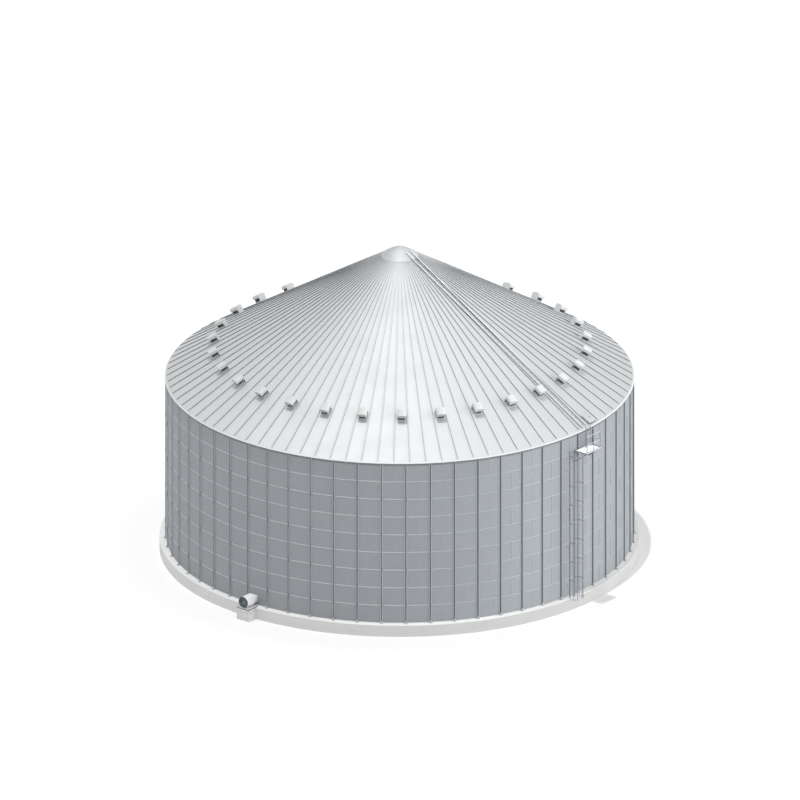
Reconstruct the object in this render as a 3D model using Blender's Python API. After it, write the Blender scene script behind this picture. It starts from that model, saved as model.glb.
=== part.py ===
"""Flat-bottomed grain silo: a round wall of galvanised sheets with outside stiffeners on a
concrete raft, under a ribbed cone roof with hooded vents, a caged ladder and an aeration fan.

Metres, +Z up. The origin is the middle of the raft's underside. Angles are degrees from -Y,
growing towards +X, so the fan stands at a negative angle and the ladder at a positive one.
"""
import math

import bmesh
import bpy
from mathutils import Vector

GAP = 0.0003

# Concrete raft
RAFT_RADIUS = 14.11
RAFT_HEIGHT = 0.71
FACET = 3.0

# Wall: nine rings of sheets, 27.43 m across, with a stiffener at every second facet corner
WALL_RADIUS = 13.715
SHEET_DEPTH = 0.015
RING_HEIGHT = 1.1176
RING_COUNT = 9
SEGMENT_COUNT = 10
SEGMENT_START = 4.55
STIFFENER_BASE = 0.12
STIFFENER_CROWN = 0.07
STIFFENER_DEPTH = 0.06

# Roof: ninety panels, each with a standing rib along its joint
ROOF_PITCH = 31.0
EAVE_RADIUS = 13.80
EAVE_LIP = 0.05
EAVE_SEAT = 0.20
PANEL_DEPTH = 0.03
PANEL_ANGLE = 4.0
RIB_SETBACK = 0.16
RIB_SLOPED_NOSE = 0.05
RIB_HEIGHT = 0.055
RIB_BASE_AT_EAVE = 0.07
RIB_BASE_AT_PEAK = 0.026
RIB_CROWN_SHARE = 0.55
PEAK_RADIUS = 0.80

# Peak
COLLAR_SIDES = 30
COLLAR_THICKNESS = 0.04
CAP_RADIUS = 0.88
CAP_RIM_HEIGHT = 0.09
CAP_RISE = 0.24
CAP_CLEARANCE = 0.10
CAP_SHARES = (1.0, 0.85, 0.6, 0.3)
CAP_CURVE = 1.6

# Roof vents, three on each roof segment
VENT_ANGLES = (8.0, 20.0, 32.0)
VENT_RUN = 10.86
HOOD_WIDTH = 0.54
HOOD_LENGTH = 0.53
HOOD_UNDERSIDE = 0.27
HOOD_SPRING = 0.41
HOOD_CROWN = 0.50
HOOD_ARCH_STEPS = 6
THROAT_WIDTH = 0.42
THROAT_LENGTH = 0.42
THROAT_SINK = 0.012

# Caged wall ladder
LADDER_ANGLE = 46.4
LADDER_HALF_WIDTH = 0.20
LADDER_RUN = 13.973
LADDER_TOP = 9.25
STRINGER_DEPTH = 0.06
STRINGER_WIDTH = 0.02
RUNG_PITCH = 0.30
RUNG_HEIGHT = 0.028
STANDOFF_LEVELS = (0.75, 3.15, 5.55, 7.95)
STANDOFF_HEIGHT = 0.05
CAGE_RUN = 14.337
CAGE_RADIUS = 0.417
CAGE_THICKNESS = 0.008
CAGE_STRAP_SPACING = 37.5
CAGE_STRAPS_A_SIDE = 2
CAGE_STRAP_WIDTH = 0.05
HOOP_PITCH = 1.20
HOOP_HEIGHT = 0.05
CAGE_BOTTOM = 0.02
CAGE_TOP = 9.15

# Eave platform
PLATFORM_ANGLE = 51.25
PLATFORM_LEVEL = 9.09
PLATFORM_HALF_WIDTH = 0.648
PLATFORM_INNER = 13.785
PLATFORM_OUTER = 14.62
PLATE_THICKNESS = 0.03
FRAME_DEPTH = 0.06
FRAME_BAR = 0.05
BRACE_DROP = 0.62
WELD_SINK = 0.0125
RAIL_HEIGHT = 1.04
RAIL_MIDDLE = 0.52
RAIL_BAR = 0.04
TOE_PLATE = 0.10

# Ladder from the platform to the roof, and the ladder up the roof
ROOF_LADDER_ANGLE = 52.55
ROOF_LADDER_HALF_WIDTH = 0.20
ROOF_LADDER_DEPTH = 0.05
ROOF_LADDER_BAR = 0.04
ROOF_LADDER_TOP_RUN = 1.0
ROOF_LADDER_FOOT_RUN = 13.60
EAVE_LADDER_RUN = 13.95
EAVE_LADDER_DEPTH = 0.04
EAVE_LADDER_HEAD = 0.30
EAVE_LADDER_FIRST_RUNG = 0.28

# Roof hatch
HATCH_ANGLE = 56.15
HATCH_RUN = 13.33
HATCH_WIDTH = 0.64
HATCH_LENGTH = 0.60
HATCH_CURB = 0.08
HATCH_WALL = 0.03
COVER_OVERHANG = 0.025
COVER_THICKNESS = 0.035
COVER_SHOULDER = 0.0245
COVER_BEVEL = 0.02
HANDLE_LENGTH = 0.16
HANDLE_BAR = 0.02
HANDLE_RISE = 0.05

# Aeration fan on its own pad
FAN_ANGLE = -38.6
FAN_RADIUS = 0.351
FAN_SHELL = 0.012
FAN_FACE = 14.718
FAN_BACK = 13.90
FAN_AXIS_HEIGHT = 0.417
FAN_SIDES = 24
PAD_HALF_WIDTH = 0.4525
PAD_FRONT = 14.771
BASE_HALF_WIDTH = 0.408
BASE_FRONT = 14.745
BASE_BACK = 13.914
BASE_HEIGHT = 0.045
BASE_BAR = 0.06
SLAT_COUNT = 6
SADDLE_HALF_WIDTH = 0.20
SADDLE_THICKNESS = 0.05
SADDLE_RUNS = (14.10, 14.56)
GUARD_THICKNESS = 0.012
GUARD_SPOKES = 6
GUARD_SPOKE_ANGLE = 7.0
GUARD_RINGS = (0.06, 0.145, 0.165, 0.235, 0.255, 0.318, 0.338)
ROTOR_FRONT = 14.60
ROTOR_LENGTH = 0.11
HUB_RADIUS = 0.085
BLADE_COUNT = 6
BLADE_ROOT = 0.0425
BLADE_TIP = 0.322
BLADE_ROOT_CHORD = 0.078
BLADE_CHORD = 0.13
BLADE_THICKNESS = 0.012
BLADE_TWIST = 38.0
MOTOR_RADIUS = 0.11
MOTOR_LENGTH = 0.34
MOTOR_ARMS = 3
ARM_WIDTH = 0.05
ARM_ROOT = 0.088
ARM_SETBACK = 0.10
ARM_LENGTH = 0.06
TRANSITION_WIDTH = 0.62
TRANSITION_HEIGHT = 0.56
TRANSITION_CIRCLE = 0.335

# Finishes: colour, roughness, metallic
CONCRETE = ((0.60, 0.60, 0.59), 0.85, 0.0)
WALL_SHEET = ((0.31, 0.33, 0.35), 0.5, 0.35)
ROOF_SHEET = ((0.58, 0.59, 0.60), 0.6, 0.6)
PALE_SHEET = ((0.80, 0.81, 0.81), 0.4, 0.1)
GALVANISED = ((0.50, 0.51, 0.55), 0.45, 0.7)
DARK_METAL = ((0.13, 0.16, 0.155), 0.5, 0.3)
SMOOTH_ANGLE = 40.0
SQUARE = ((-1, -1), (1, -1), (1, 1), (-1, 1))

RAFT_TOP = RAFT_HEIGHT
WALL_FOOT = RAFT_TOP + GAP
WALL_TOP = RAFT_TOP + RING_COUNT * RING_HEIGHT
EAVE_TOP = WALL_TOP + GAP + EAVE_LIP
SEGMENT_ANGLE = 360.0 / SEGMENT_COUNT
HALF_PANEL = math.radians(PANEL_ANGLE / 2)
RAY_SLOPE = math.tan(math.radians(ROOF_PITCH))
PANEL_SLOPE = RAY_SLOPE / math.cos(HALF_PANEL)
PANEL_TILT = math.atan(PANEL_SLOPE)


def polar(angle, run, across=0.0, height=0.0):
    """A point by its angle round the silo, distance from the axis, sideways offset and height."""
    turn = math.radians(angle)
    x = run * math.sin(turn) + across * math.cos(turn)
    y = -run * math.cos(turn) + across * math.sin(turn)
    return Vector((x, y, height))


def facet_face(radius, angle):
    """Distance from the axis to the flat facet of a many-sided wall or raft at an angle."""
    half = FACET / 2
    offset = (angle - SEGMENT_START) % FACET - half
    return radius * math.cos(math.radians(half)) / math.cos(math.radians(offset))


def wall_clearance(angle, low, high):
    """How far out a plate square to an angle stands to clear the wall between two offsets."""
    ends = [angle + math.degrees(math.asin(across / WALL_RADIUS)) for across in (low, high)]
    first = math.ceil((ends[0] - SEGMENT_START) / FACET)
    last = math.floor((ends[1] - SEGMENT_START) / FACET)
    corners = [SEGMENT_START + FACET * step for step in range(first, last + 1)]
    reach = [facet_face(WALL_RADIUS, a) * math.cos(math.radians(a - angle)) for a in ends + corners]
    return max(reach) + GAP


def roof_height(radius):
    """Height of the roof along a rib's line at a distance from the axis."""
    return EAVE_TOP + (EAVE_RADIUS - radius) * RAY_SLOPE


def on_roof(angle, run, across, lift):
    """A point over the flat panel whose middle is at an angle, lifted square to the panel."""
    plane = roof_height(run / math.cos(HALF_PANEL))
    out = run + lift * math.sin(PANEL_TILT)
    return polar(angle, out, across, plane + lift * math.cos(PANEL_TILT))


def metal(name, colour, roughness, metallic):
    material = bpy.data.materials.new(name)
    material.use_nodes = True
    shader = material.node_tree.nodes["Principled BSDF"]
    shader.inputs["Base Color"].default_value = (*colour, 1.0)
    shader.inputs["Roughness"].default_value = roughness
    shader.inputs["Metallic"].default_value = metallic
    return material


def finish(name, shape, look, rounded=False):
    """Turns a bmesh into a named object with its own material, shaded smooth if it is rounded."""
    bmesh.ops.recalc_face_normals(shape, faces=shape.faces)
    mesh = bpy.data.meshes.new(name)
    shape.to_mesh(mesh)
    shape.free()
    mesh.materials.append(metal(name + "_finish", *look))
    if rounded:
        mesh.shade_smooth()
        mesh.set_sharp_from_angle(angle=math.radians(SMOOTH_ANGLE))
    piece = bpy.data.objects.new(name, mesh)
    bpy.context.scene.collection.objects.link(piece)
    return piece


def join_solids(target, tool):
    """Fuses one solid into another and drops the loose one."""
    join = target.modifiers.new("join", "BOOLEAN")
    join.operation = "UNION"
    join.solver = "EXACT"
    join.object = tool
    graph = bpy.context.evaluated_depsgraph_get()
    fused = bpy.data.meshes.new_from_object(target.evaluated_get(graph))
    target.modifiers.clear()
    target.data = fused
    bpy.data.objects.remove(tool)


def loft(shape, loops):
    """A closed solid through loops of equal length, with a flat cap on each end."""
    rows = [[shape.verts.new(point) for point in loop] for loop in loops]
    count = len(rows[0])
    shape.faces.new(rows[0])
    shape.faces.new(rows[-1])
    for low, high in zip(rows, rows[1:]):
        for k in range(count):
            after = (k + 1) % count
            shape.faces.new((low[k], low[after], high[after], high[k]))


def block(shape, angle, runs, acrosses, heights):
    """A box square to an angle, between two runs, two sideways offsets and two heights."""
    ends = ((0, 0), (1, 0), (1, 1), (0, 1))
    loft(shape, [[polar(angle, runs[i], acrosses[j], z) for i, j in ends] for z in heights])


def lattice(shape, columns, rows, solid, point, closed=False):
    """A pierced plate: the grid's solid cells, given two faces by point(column, row, face)."""
    wide = len(columns) - 1
    tall = len(rows) - 1
    made = {}

    def corner(i, j, face):
        key = (i % wide if closed else i, j, face)
        if key not in made:
            made[key] = shape.verts.new(point(columns[key[0]], rows[j], face))
        return made[key]

    def filled(i, j):
        if closed:
            i %= wide
        return 0 <= i < wide and 0 <= j < tall and solid(i, j)

    for i in range(wide):
        for j in range(tall):
            if not filled(i, j):
                continue
            ring = ((i, j), (i + 1, j), (i + 1, j + 1), (i, j + 1))
            for face in (0, 1):
                shape.faces.new([corner(a, b, face) for a, b in ring])
            beyond = ((i, j - 1), (i + 1, j), (i, j + 1), (i - 1, j))
            for side, neighbour in enumerate(beyond):
                if filled(*neighbour):
                    continue
                a = ring[side]
                b = ring[(side + 1) % 4]
                shape.faces.new((corner(*a, 0), corner(*b, 0), corner(*b, 1), corner(*a, 1)))


def ladder_rows(length, first, pitch, bar):
    """Edges of the rows of a ladder, rung and space in turn, over its length."""
    edges = [0.0]
    centre = first
    while centre + bar < length:
        edges += [centre - bar / 2, centre + bar / 2]
        centre += pitch
    edges.append(length)
    return edges


def raft():
    shape = bmesh.new()
    steps = range(int(360 / FACET))
    angles = [SEGMENT_START + FACET * step for step in steps]
    loft(shape, [[polar(a, RAFT_RADIUS, 0, z) for a in angles] for z in (0.0, RAFT_TOP)])
    finish("foundation", shape, CONCRETE, rounded=True)


def stiffener_outline(angle):
    """The hat-shaped outside of one stiffener, from the facet before it to the one after."""
    half_base = STIFFENER_BASE / 2
    half_crown = STIFFENER_CROWN / 2
    foot = WALL_RADIUS - half_base * math.tan(math.radians(FACET / 2))
    crown = WALL_RADIUS + STIFFENER_DEPTH
    corners = ((foot, -half_base), (crown, -half_crown), (crown, half_crown), (foot, half_base))
    return [polar(angle, run, across) for run, across in corners]


def wall_segment(number):
    start = SEGMENT_START + SEGMENT_ANGLE * number
    facets = int(SEGMENT_ANGLE / FACET)
    outer = []
    inner = []
    for step in range(facets + 1):
        angle = start + FACET * step
        nudge = GAP / 2 * ((step == 0) - (step == facets))
        if step % 2:
            outer += stiffener_outline(angle)
        else:
            outer.append(polar(angle, WALL_RADIUS, nudge))
        inner.append(polar(angle, WALL_RADIUS - SHEET_DEPTH, nudge))
    outline = outer + inner[::-1]
    shape = bmesh.new()
    loops = [[p + Vector((0, 0, z)) for p in outline] for z in (WALL_FOOT, WALL_TOP)]
    loft(shape, loops)
    finish(f"wall_segment_{number + 1:02d}", shape, WALL_SHEET)


def rib_corners(angle, radius, share):
    """Base left, crown left, crown right and base right of a roof rib; share is 0 at the eave."""
    base = RIB_BASE_AT_EAVE + (RIB_BASE_AT_PEAK - RIB_BASE_AT_EAVE) * share
    half_base = base / 2
    half_crown = half_base * RIB_CROWN_SHARE
    foot = radius - half_base * math.tan(HALF_PANEL)
    z = roof_height(radius)
    return (
        polar(angle, foot, -half_base, z),
        polar(angle, radius, -half_crown, z + RIB_HEIGHT),
        polar(angle, radius, half_crown, z + RIB_HEIGHT),
        polar(angle, foot, half_base, z),
    )


def roof_segment(number):
    """Ribbed panels with their eave seat and three hooded vents, as one closed solid."""
    shape = bmesh.new()
    start = SEGMENT_START + SEGMENT_ANGLE * number
    rib_count = int(SEGMENT_ANGLE / PANEL_ANGLE)
    rib_angles = [start + PANEL_ANGLE * (k + 0.5) for k in range(rib_count)]
    seat_run = EAVE_RADIUS - EAVE_SEAT
    levels = {
        "lip_top": (EAVE_RADIUS, EAVE_TOP),
        "lip_foot": (EAVE_RADIUS, WALL_TOP + GAP),
        "seat_foot": (seat_run, WALL_TOP + GAP),
        "seat_top": (seat_run, roof_height(seat_run) - PANEL_DEPTH),
        "peak_foot": (PEAK_RADIUS, roof_height(PEAK_RADIUS) - PANEL_DEPTH),
    }
    rows = {}
    for name, (radius, z) in levels.items():
        apothem = radius * math.cos(HALF_PANEL)
        points = [polar(start, apothem, GAP / 2, z)]
        points += [polar(angle, radius, 0, z) for angle in rib_angles]
        points.append(polar(start + SEGMENT_ANGLE, apothem, -GAP / 2, z))
        rows[name] = [shape.verts.new(p) for p in points]
    nose = EAVE_RADIUS - RIB_SETBACK
    middles = [shape.verts.new(polar(a, nose, 0, roof_height(nose))) for a in rib_angles]
    near = []
    far = []
    for angle in rib_angles:
        low = rib_corners(angle, nose, 0.0)
        raised = rib_corners(angle, nose - RIB_SLOPED_NOSE, 0.0)
        near.append([shape.verts.new(p) for p in (low[0], raised[1], raised[2], low[3])])
        far.append([shape.verts.new(p) for p in rib_corners(angle, PEAK_RADIUS, 1.0)])
    peak_z = roof_height(PEAK_RADIUS)
    peak_apothem = PEAK_RADIUS * math.cos(HALF_PANEL)
    peak_start = shape.verts.new(polar(start, peak_apothem, GAP / 2, peak_z))
    peak_end = shape.verts.new(polar(start + SEGMENT_ANGLE, peak_apothem, -GAP / 2, peak_z))
    for a, b in zip(near, far):
        for k in range(3):
            shape.faces.new((a[k], a[k + 1], b[k + 1], b[k]))
    for middle, a in zip(middles, near):
        shape.faces.new((middle, a[3], a[2], a[1], a[0]))
    lip = rows["lip_top"]
    under = rows["peak_foot"]
    shape.faces.new((lip[0], lip[1], middles[0], near[0][0], far[0][0], peak_start))
    shape.faces.new((lip[-2], lip[-1], peak_end, far[-1][3], near[-1][3], middles[-1]))
    shape.faces.new((peak_start, far[0][0], under[1], under[0]))
    shape.faces.new((far[-1][3], peak_end, under[-1], under[-2]))
    for k in range(rib_count - 1):
        left = (middles[k], near[k][3], far[k][3])
        right = (far[k + 1][0], near[k + 1][0], middles[k + 1])
        shape.faces.new((lip[k + 1], *left, *right, lip[k + 2]))
        shape.faces.new((far[k][3], far[k + 1][0], under[k + 2], under[k + 1]))
    for k in range(rib_count):
        shape.faces.new((*far[k], under[k + 1]))
    for upper, lower in zip(list(rows)[:-1], list(rows)[1:]):
        a = rows[upper]
        b = rows[lower]
        for k in range(rib_count + 1):
            shape.faces.new((a[k], a[k + 1], b[k + 1], b[k]))
    for end, tip in ((0, peak_start), (-1, peak_end)):
        shape.faces.new([rows[name][end] for name in rows] + [tip])
    segment = finish(f"roof_segment_{number + 1:02d}", shape, ROOF_SHEET)
    vents = bmesh.new()
    for offset in VENT_ANGLES:
        vent_hood(vents, start + offset)
    join_solids(segment, finish("vent_hoods", vents, ROOF_SHEET))


def vent_hood(shape, angle):
    """A throat through the panel under a barrel-topped hood that overhangs it all round."""
    half_throat = THROAT_WIDTH / 2
    half_hood = HOOD_WIDTH / 2
    loops = []
    half_run = THROAT_LENGTH / 2 * math.cos(PANEL_TILT)
    for lift in (-THROAT_SINK, HOOD_UNDERSIDE + THROAT_SINK):
        loops.append([
            on_roof(angle, VENT_RUN + a * half_run, b * half_throat, lift) for a, b in SQUARE
        ])
    throat = bmesh.new()
    loft(throat, loops)
    arch = [(-half_hood, HOOD_UNDERSIDE), (half_hood, HOOD_UNDERSIDE)]
    for step in range(HOOD_ARCH_STEPS + 1):
        turn = math.pi * step / HOOD_ARCH_STEPS
        rise = (HOOD_CROWN - HOOD_SPRING) * math.sin(turn)
        arch.append((half_hood * math.cos(turn), HOOD_SPRING + rise))
    half_run = HOOD_LENGTH / 2 * math.cos(PANEL_TILT)
    hood = bmesh.new()
    loft(hood, [
        [on_roof(angle, VENT_RUN + end * half_run, u, w) for u, w in arch] for end in (-1, 1)
    ])
    body = finish("hood", hood, ROOF_SHEET)
    join_solids(body, finish("throat", throat, ROOF_SHEET))
    shape.from_mesh(body.data)
    bpy.data.objects.remove(body)


def turned(shape, profile, sides, place):
    """A solid turned from a profile of (radius, height) points; place puts it in the silo."""
    rings = []
    for radius, height in profile:
        if radius == 0:
            rings.append([shape.verts.new(place(0.0, 0.0, height))] * sides)
            continue
        turns = [2 * math.pi * k / sides for k in range(sides)]
        rings.append([shape.verts.new(place(radius, turn, height)) for turn in turns])
    pairs = list(zip(rings, rings[1:]))
    if profile[0][0] > 0:
        pairs.append((rings[-1], rings[0]))
    for a, b in pairs:
        for k in range(sides):
            after = (k + 1) % sides
            corners = [a[k], a[after], b[after], b[k]]
            unique = [v for n, v in enumerate(corners) if v not in corners[:n]]
            shape.faces.new(unique)


def about_silo_axis(radius, turn, height):
    return polar(SEGMENT_START + math.degrees(turn), radius, 0, height)


def about_fan_axis(radius, turn, run):
    """A point round the fan's axis; run is the distance from the silo's axis."""
    across = radius * math.sin(turn)
    height = RAFT_TOP + FAN_AXIS_HEIGHT + radius * math.cos(turn)
    return polar(FAN_ANGLE, run, across, height)


def peak():
    """The collar that holds the panels' inner ends, and the shallow cap over it."""
    outer = PEAK_RADIUS * math.cos(HALF_PANEL) - GAP
    inner = outer - COLLAR_THICKNESS
    foot = roof_height(PEAK_RADIUS) - PANEL_DEPTH - COLLAR_THICKNESS
    rim_foot = roof_height(CAP_RADIUS) + CAP_CLEARANCE
    seat = rim_foot + COLLAR_THICKNESS
    shape = bmesh.new()
    ring = [(inner, foot), (outer, foot), (outer, seat - GAP), (inner, seat - GAP)]
    turned(shape, ring, COLLAR_SIDES, about_silo_axis)
    finish("peak_collar", shape, GALVANISED, rounded=True)
    shape = bmesh.new()
    rim_top = rim_foot + CAP_RIM_HEIGHT
    profile = [(0, seat), (CAP_RADIUS - COLLAR_THICKNESS, seat)]
    profile += [(CAP_RADIUS - COLLAR_THICKNESS / 2, rim_foot), (CAP_RADIUS, rim_foot)]
    for share in CAP_SHARES:
        profile.append((CAP_RADIUS * share, rim_top + CAP_RISE * (1 - share ** CAP_CURVE)))
    profile.append((0, rim_top + CAP_RISE))
    turned(shape, profile, COLLAR_SIDES, about_silo_axis)
    finish("peak_cap", shape, PALE_SHEET, rounded=True)


def wall_ladder():
    """Two stringers with rungs, held off the wall by four pairs of stand-offs."""
    half = LADDER_HALF_WIDTH
    side = STRINGER_WIDTH
    columns = [-half - side / 2, -half + side / 2, half - side / 2, half + side / 2]
    length = LADDER_TOP - GAP
    rows = ladder_rows(length, RUNG_PITCH, RUNG_PITCH, RUNG_HEIGHT)
    runs = (LADDER_RUN - STRINGER_DEPTH / 2, LADDER_RUN + STRINGER_DEPTH / 2)

    def point(across, height, face):
        return polar(LADDER_ANGLE, runs[face], across, WALL_FOOT + height)

    shape = bmesh.new()
    lattice(shape, columns, rows, lambda i, j: i != 1 or j % 2 == 1, point)
    ladder = finish("wall_ladder", shape, GALVANISED)
    brackets = bmesh.new()
    for centre in (-half, half):
        edges = (centre - side / 4, centre + side / 4)
        foot = wall_clearance(LADDER_ANGLE, *edges)
        for level in STANDOFF_LEVELS:
            heights = (RAFT_TOP + level, RAFT_TOP + level + STANDOFF_HEIGHT)
            block(brackets, LADDER_ANGLE, (foot, LADDER_RUN), edges, heights)
    join_solids(ladder, finish("standoffs", brackets, GALVANISED))


def ladder_cage():
    """Hoops from stringer to stringer, tied by five upright straps."""
    inner = CAGE_RADIUS - CAGE_THICKNESS / 2
    seat = LADDER_HALF_WIDTH + STRINGER_WIDTH / 2 + GAP
    last = 180 - math.degrees(math.asin(seat / inner))
    half_strap = math.degrees(CAGE_STRAP_WIDTH / 2 / CAGE_RADIUS)
    flank = CAGE_STRAP_SPACING * (CAGE_STRAPS_A_SIDE + 1)
    columns = [-last, -flank]
    strap_columns = []
    for step in range(-CAGE_STRAPS_A_SIDE, CAGE_STRAPS_A_SIDE + 1):
        centre = CAGE_STRAP_SPACING * step
        strap_columns.append(len(columns))
        columns += [centre - half_strap, centre + half_strap]
        if step < CAGE_STRAPS_A_SIDE:
            columns.append(centre + CAGE_STRAP_SPACING / 2)
    columns += [flank, last]
    rows = []
    level = CAGE_BOTTOM
    while level + HOOP_HEIGHT < CAGE_TOP - HOOP_PITCH / 2:
        rows += [level, level + HOOP_HEIGHT]
        level += HOOP_PITCH
    rows += [CAGE_TOP - HOOP_HEIGHT, CAGE_TOP]

    def point(turn, height, face):
        radius = inner + CAGE_THICKNESS * face
        across = radius * math.sin(math.radians(turn))
        run = CAGE_RUN + radius * math.cos(math.radians(turn))
        return polar(LADDER_ANGLE, run, across, RAFT_TOP + height)

    shape = bmesh.new()
    lattice(shape, columns, rows, lambda i, j: j % 2 == 0 or i in strap_columns, point)
    finish("ladder_cage", shape, GALVANISED, rounded=True)


def platform():
    """The plate, the bracket frame under it and the rails round its two open sides."""
    angle = PLATFORM_ANGLE
    half = PLATFORM_HALF_WIDTH
    top = RAFT_TOP + PLATFORM_LEVEL
    under = top - PLATE_THICKNESS
    shape = bmesh.new()
    block(shape, angle, (PLATFORM_INNER, PLATFORM_OUTER), (-half, half), (under, top))
    finish("eave_platform", shape, PALE_SHEET)

    frame_top = under - GAP
    frame_foot = frame_top - FRAME_DEPTH
    inset = FRAME_BAR / 2
    back = (PLATFORM_INNER, PLATFORM_INNER + FRAME_BAR)
    front = (PLATFORM_OUTER - FRAME_BAR - inset, PLATFORM_OUTER - inset)
    columns = [-half + inset, -half + inset + FRAME_BAR, half - inset - FRAME_BAR, half - inset]
    rows = [*back, *front]
    heights = (frame_foot, frame_top)
    shape = bmesh.new()
    lattice(
        shape, columns, rows, lambda i, j: i != 1 or j != 1,
        lambda across, run, face: polar(angle, run, across, heights[face]),
    )
    frame = finish("platform_brackets", shape, GALVANISED)
    brace_foot = frame_foot - BRACE_DROP
    bury = WELD_SINK
    leg_runs = (PLATFORM_INNER + bury, PLATFORM_INNER + FRAME_BAR - bury)
    for low, high in (columns[0:2], columns[2:4]):
        leg = bmesh.new()
        block(leg, angle, leg_runs, (low + bury / 2, high - bury / 2), (brace_foot, frame_foot + bury))
        join_solids(frame, finish("leg", leg, GALVANISED))
        brace = bmesh.new()
        inner = leg_runs[0] + bury
        outer = front[0] + bury
        side = (
            (inner, brace_foot + bury), (inner, brace_foot + 2 * FRAME_BAR),
            (outer - FRAME_BAR, frame_foot + bury / 2), (outer, frame_foot + bury / 2),
        )
        loft(brace, [[polar(angle, r, u, z) for r, z in side] for u in (low + bury, high - bury)])
        join_solids(frame, finish("brace", brace, GALVANISED))
    spacers = bmesh.new()
    edges = (columns[2] + bury, columns[3] - bury)
    reach = wall_clearance(angle, *edges)
    for z in (brace_foot + bury, frame_foot - 2 * FRAME_BAR):
        block(spacers, angle, (reach, leg_runs[0] + bury), edges, (z, z + FRAME_BAR))
    join_solids(frame, finish("spacers", spacers, GALVANISED))
    platform_rails(top + GAP)


def platform_rails(foot):
    """Posts, two rails and a toe plate along the outer edge and the far side, as one lattice."""
    half = PLATFORM_HALF_WIDTH - RAIL_BAR / 4
    outer = PLATFORM_OUTER - RAIL_BAR / 4
    front = 2 * half
    side = outer - PLATFORM_INNER - RAIL_BAR
    stops = [0.0, RAIL_BAR, (front - RAIL_BAR) / 2, (front + RAIL_BAR) / 2]
    stops += [front - RAIL_BAR, front, front + RAIL_BAR, front + side - RAIL_BAR, front + side]
    posts = (0, 2, 4, 5, 7)
    rows = [0.0, TOE_PLATE, RAIL_MIDDLE - RAIL_BAR, RAIL_MIDDLE, RAIL_HEIGHT - RAIL_BAR, RAIL_HEIGHT]

    def point(distance, height, face):
        depth = RAIL_BAR * (1 - face)
        if distance <= front:
            across = min(distance - half, half - depth)
            run = outer - depth
        else:
            across = half - depth
            run = min(outer - (distance - front), outer - depth)
        return polar(PLATFORM_ANGLE, run, across, foot + height)

    shape = bmesh.new()
    lattice(shape, stops, rows, lambda i, j: j % 2 == 0 or i in posts, point)
    finish("platform_rails", shape, GALVANISED)


def eave_ladder():
    """The short ladder from the platform to the eave, standing on the plate."""
    half = ROOF_LADDER_HALF_WIDTH
    bar = ROOF_LADDER_BAR
    foot = RAFT_TOP + PLATFORM_LEVEL + GAP
    columns = [-half - bar / 2, -half + bar / 2, half - bar / 2, half + bar / 2]
    length = WALL_TOP + EAVE_LADDER_HEAD - foot
    rows = ladder_rows(length, EAVE_LADDER_FIRST_RUNG, RUNG_PITCH, RUNG_HEIGHT)
    runs = (EAVE_LADDER_RUN - EAVE_LADDER_DEPTH, EAVE_LADDER_RUN)
    shape = bmesh.new()
    lattice(
        shape, columns, rows, lambda i, j: i != 1 or j % 2 == 1,
        lambda across, height, face: polar(ROOF_LADDER_ANGLE, runs[face], across, foot + height),
    )
    finish("eave_ladder", shape, GALVANISED)


def roof_ladder():
    """Stringers and rungs laid on the ribs' crowns from the eave to the peak."""
    half = ROOF_LADDER_HALF_WIDTH
    bar = ROOF_LADDER_BAR
    columns = [-half - bar / 2, -half + bar / 2, half - bar / 2, half + bar / 2]
    length = (ROOF_LADDER_FOOT_RUN - ROOF_LADDER_TOP_RUN) / math.cos(PANEL_TILT)
    rows = ladder_rows(length, RUNG_PITCH / 2, RUNG_PITCH, RUNG_HEIGHT)
    crown = RIB_HEIGHT * math.cos(PANEL_TILT) + GAP
    lifts = (crown, crown + ROOF_LADDER_DEPTH)

    def point(across, distance, face):
        run = ROOF_LADDER_FOOT_RUN - distance * math.cos(PANEL_TILT)
        return on_roof(ROOF_LADDER_ANGLE, run, across, lifts[face])

    shape = bmesh.new()
    lattice(shape, columns, rows, lambda i, j: i != 1 or j % 2 == 1, point)
    finish("roof_ladder", shape, GALVANISED)


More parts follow.
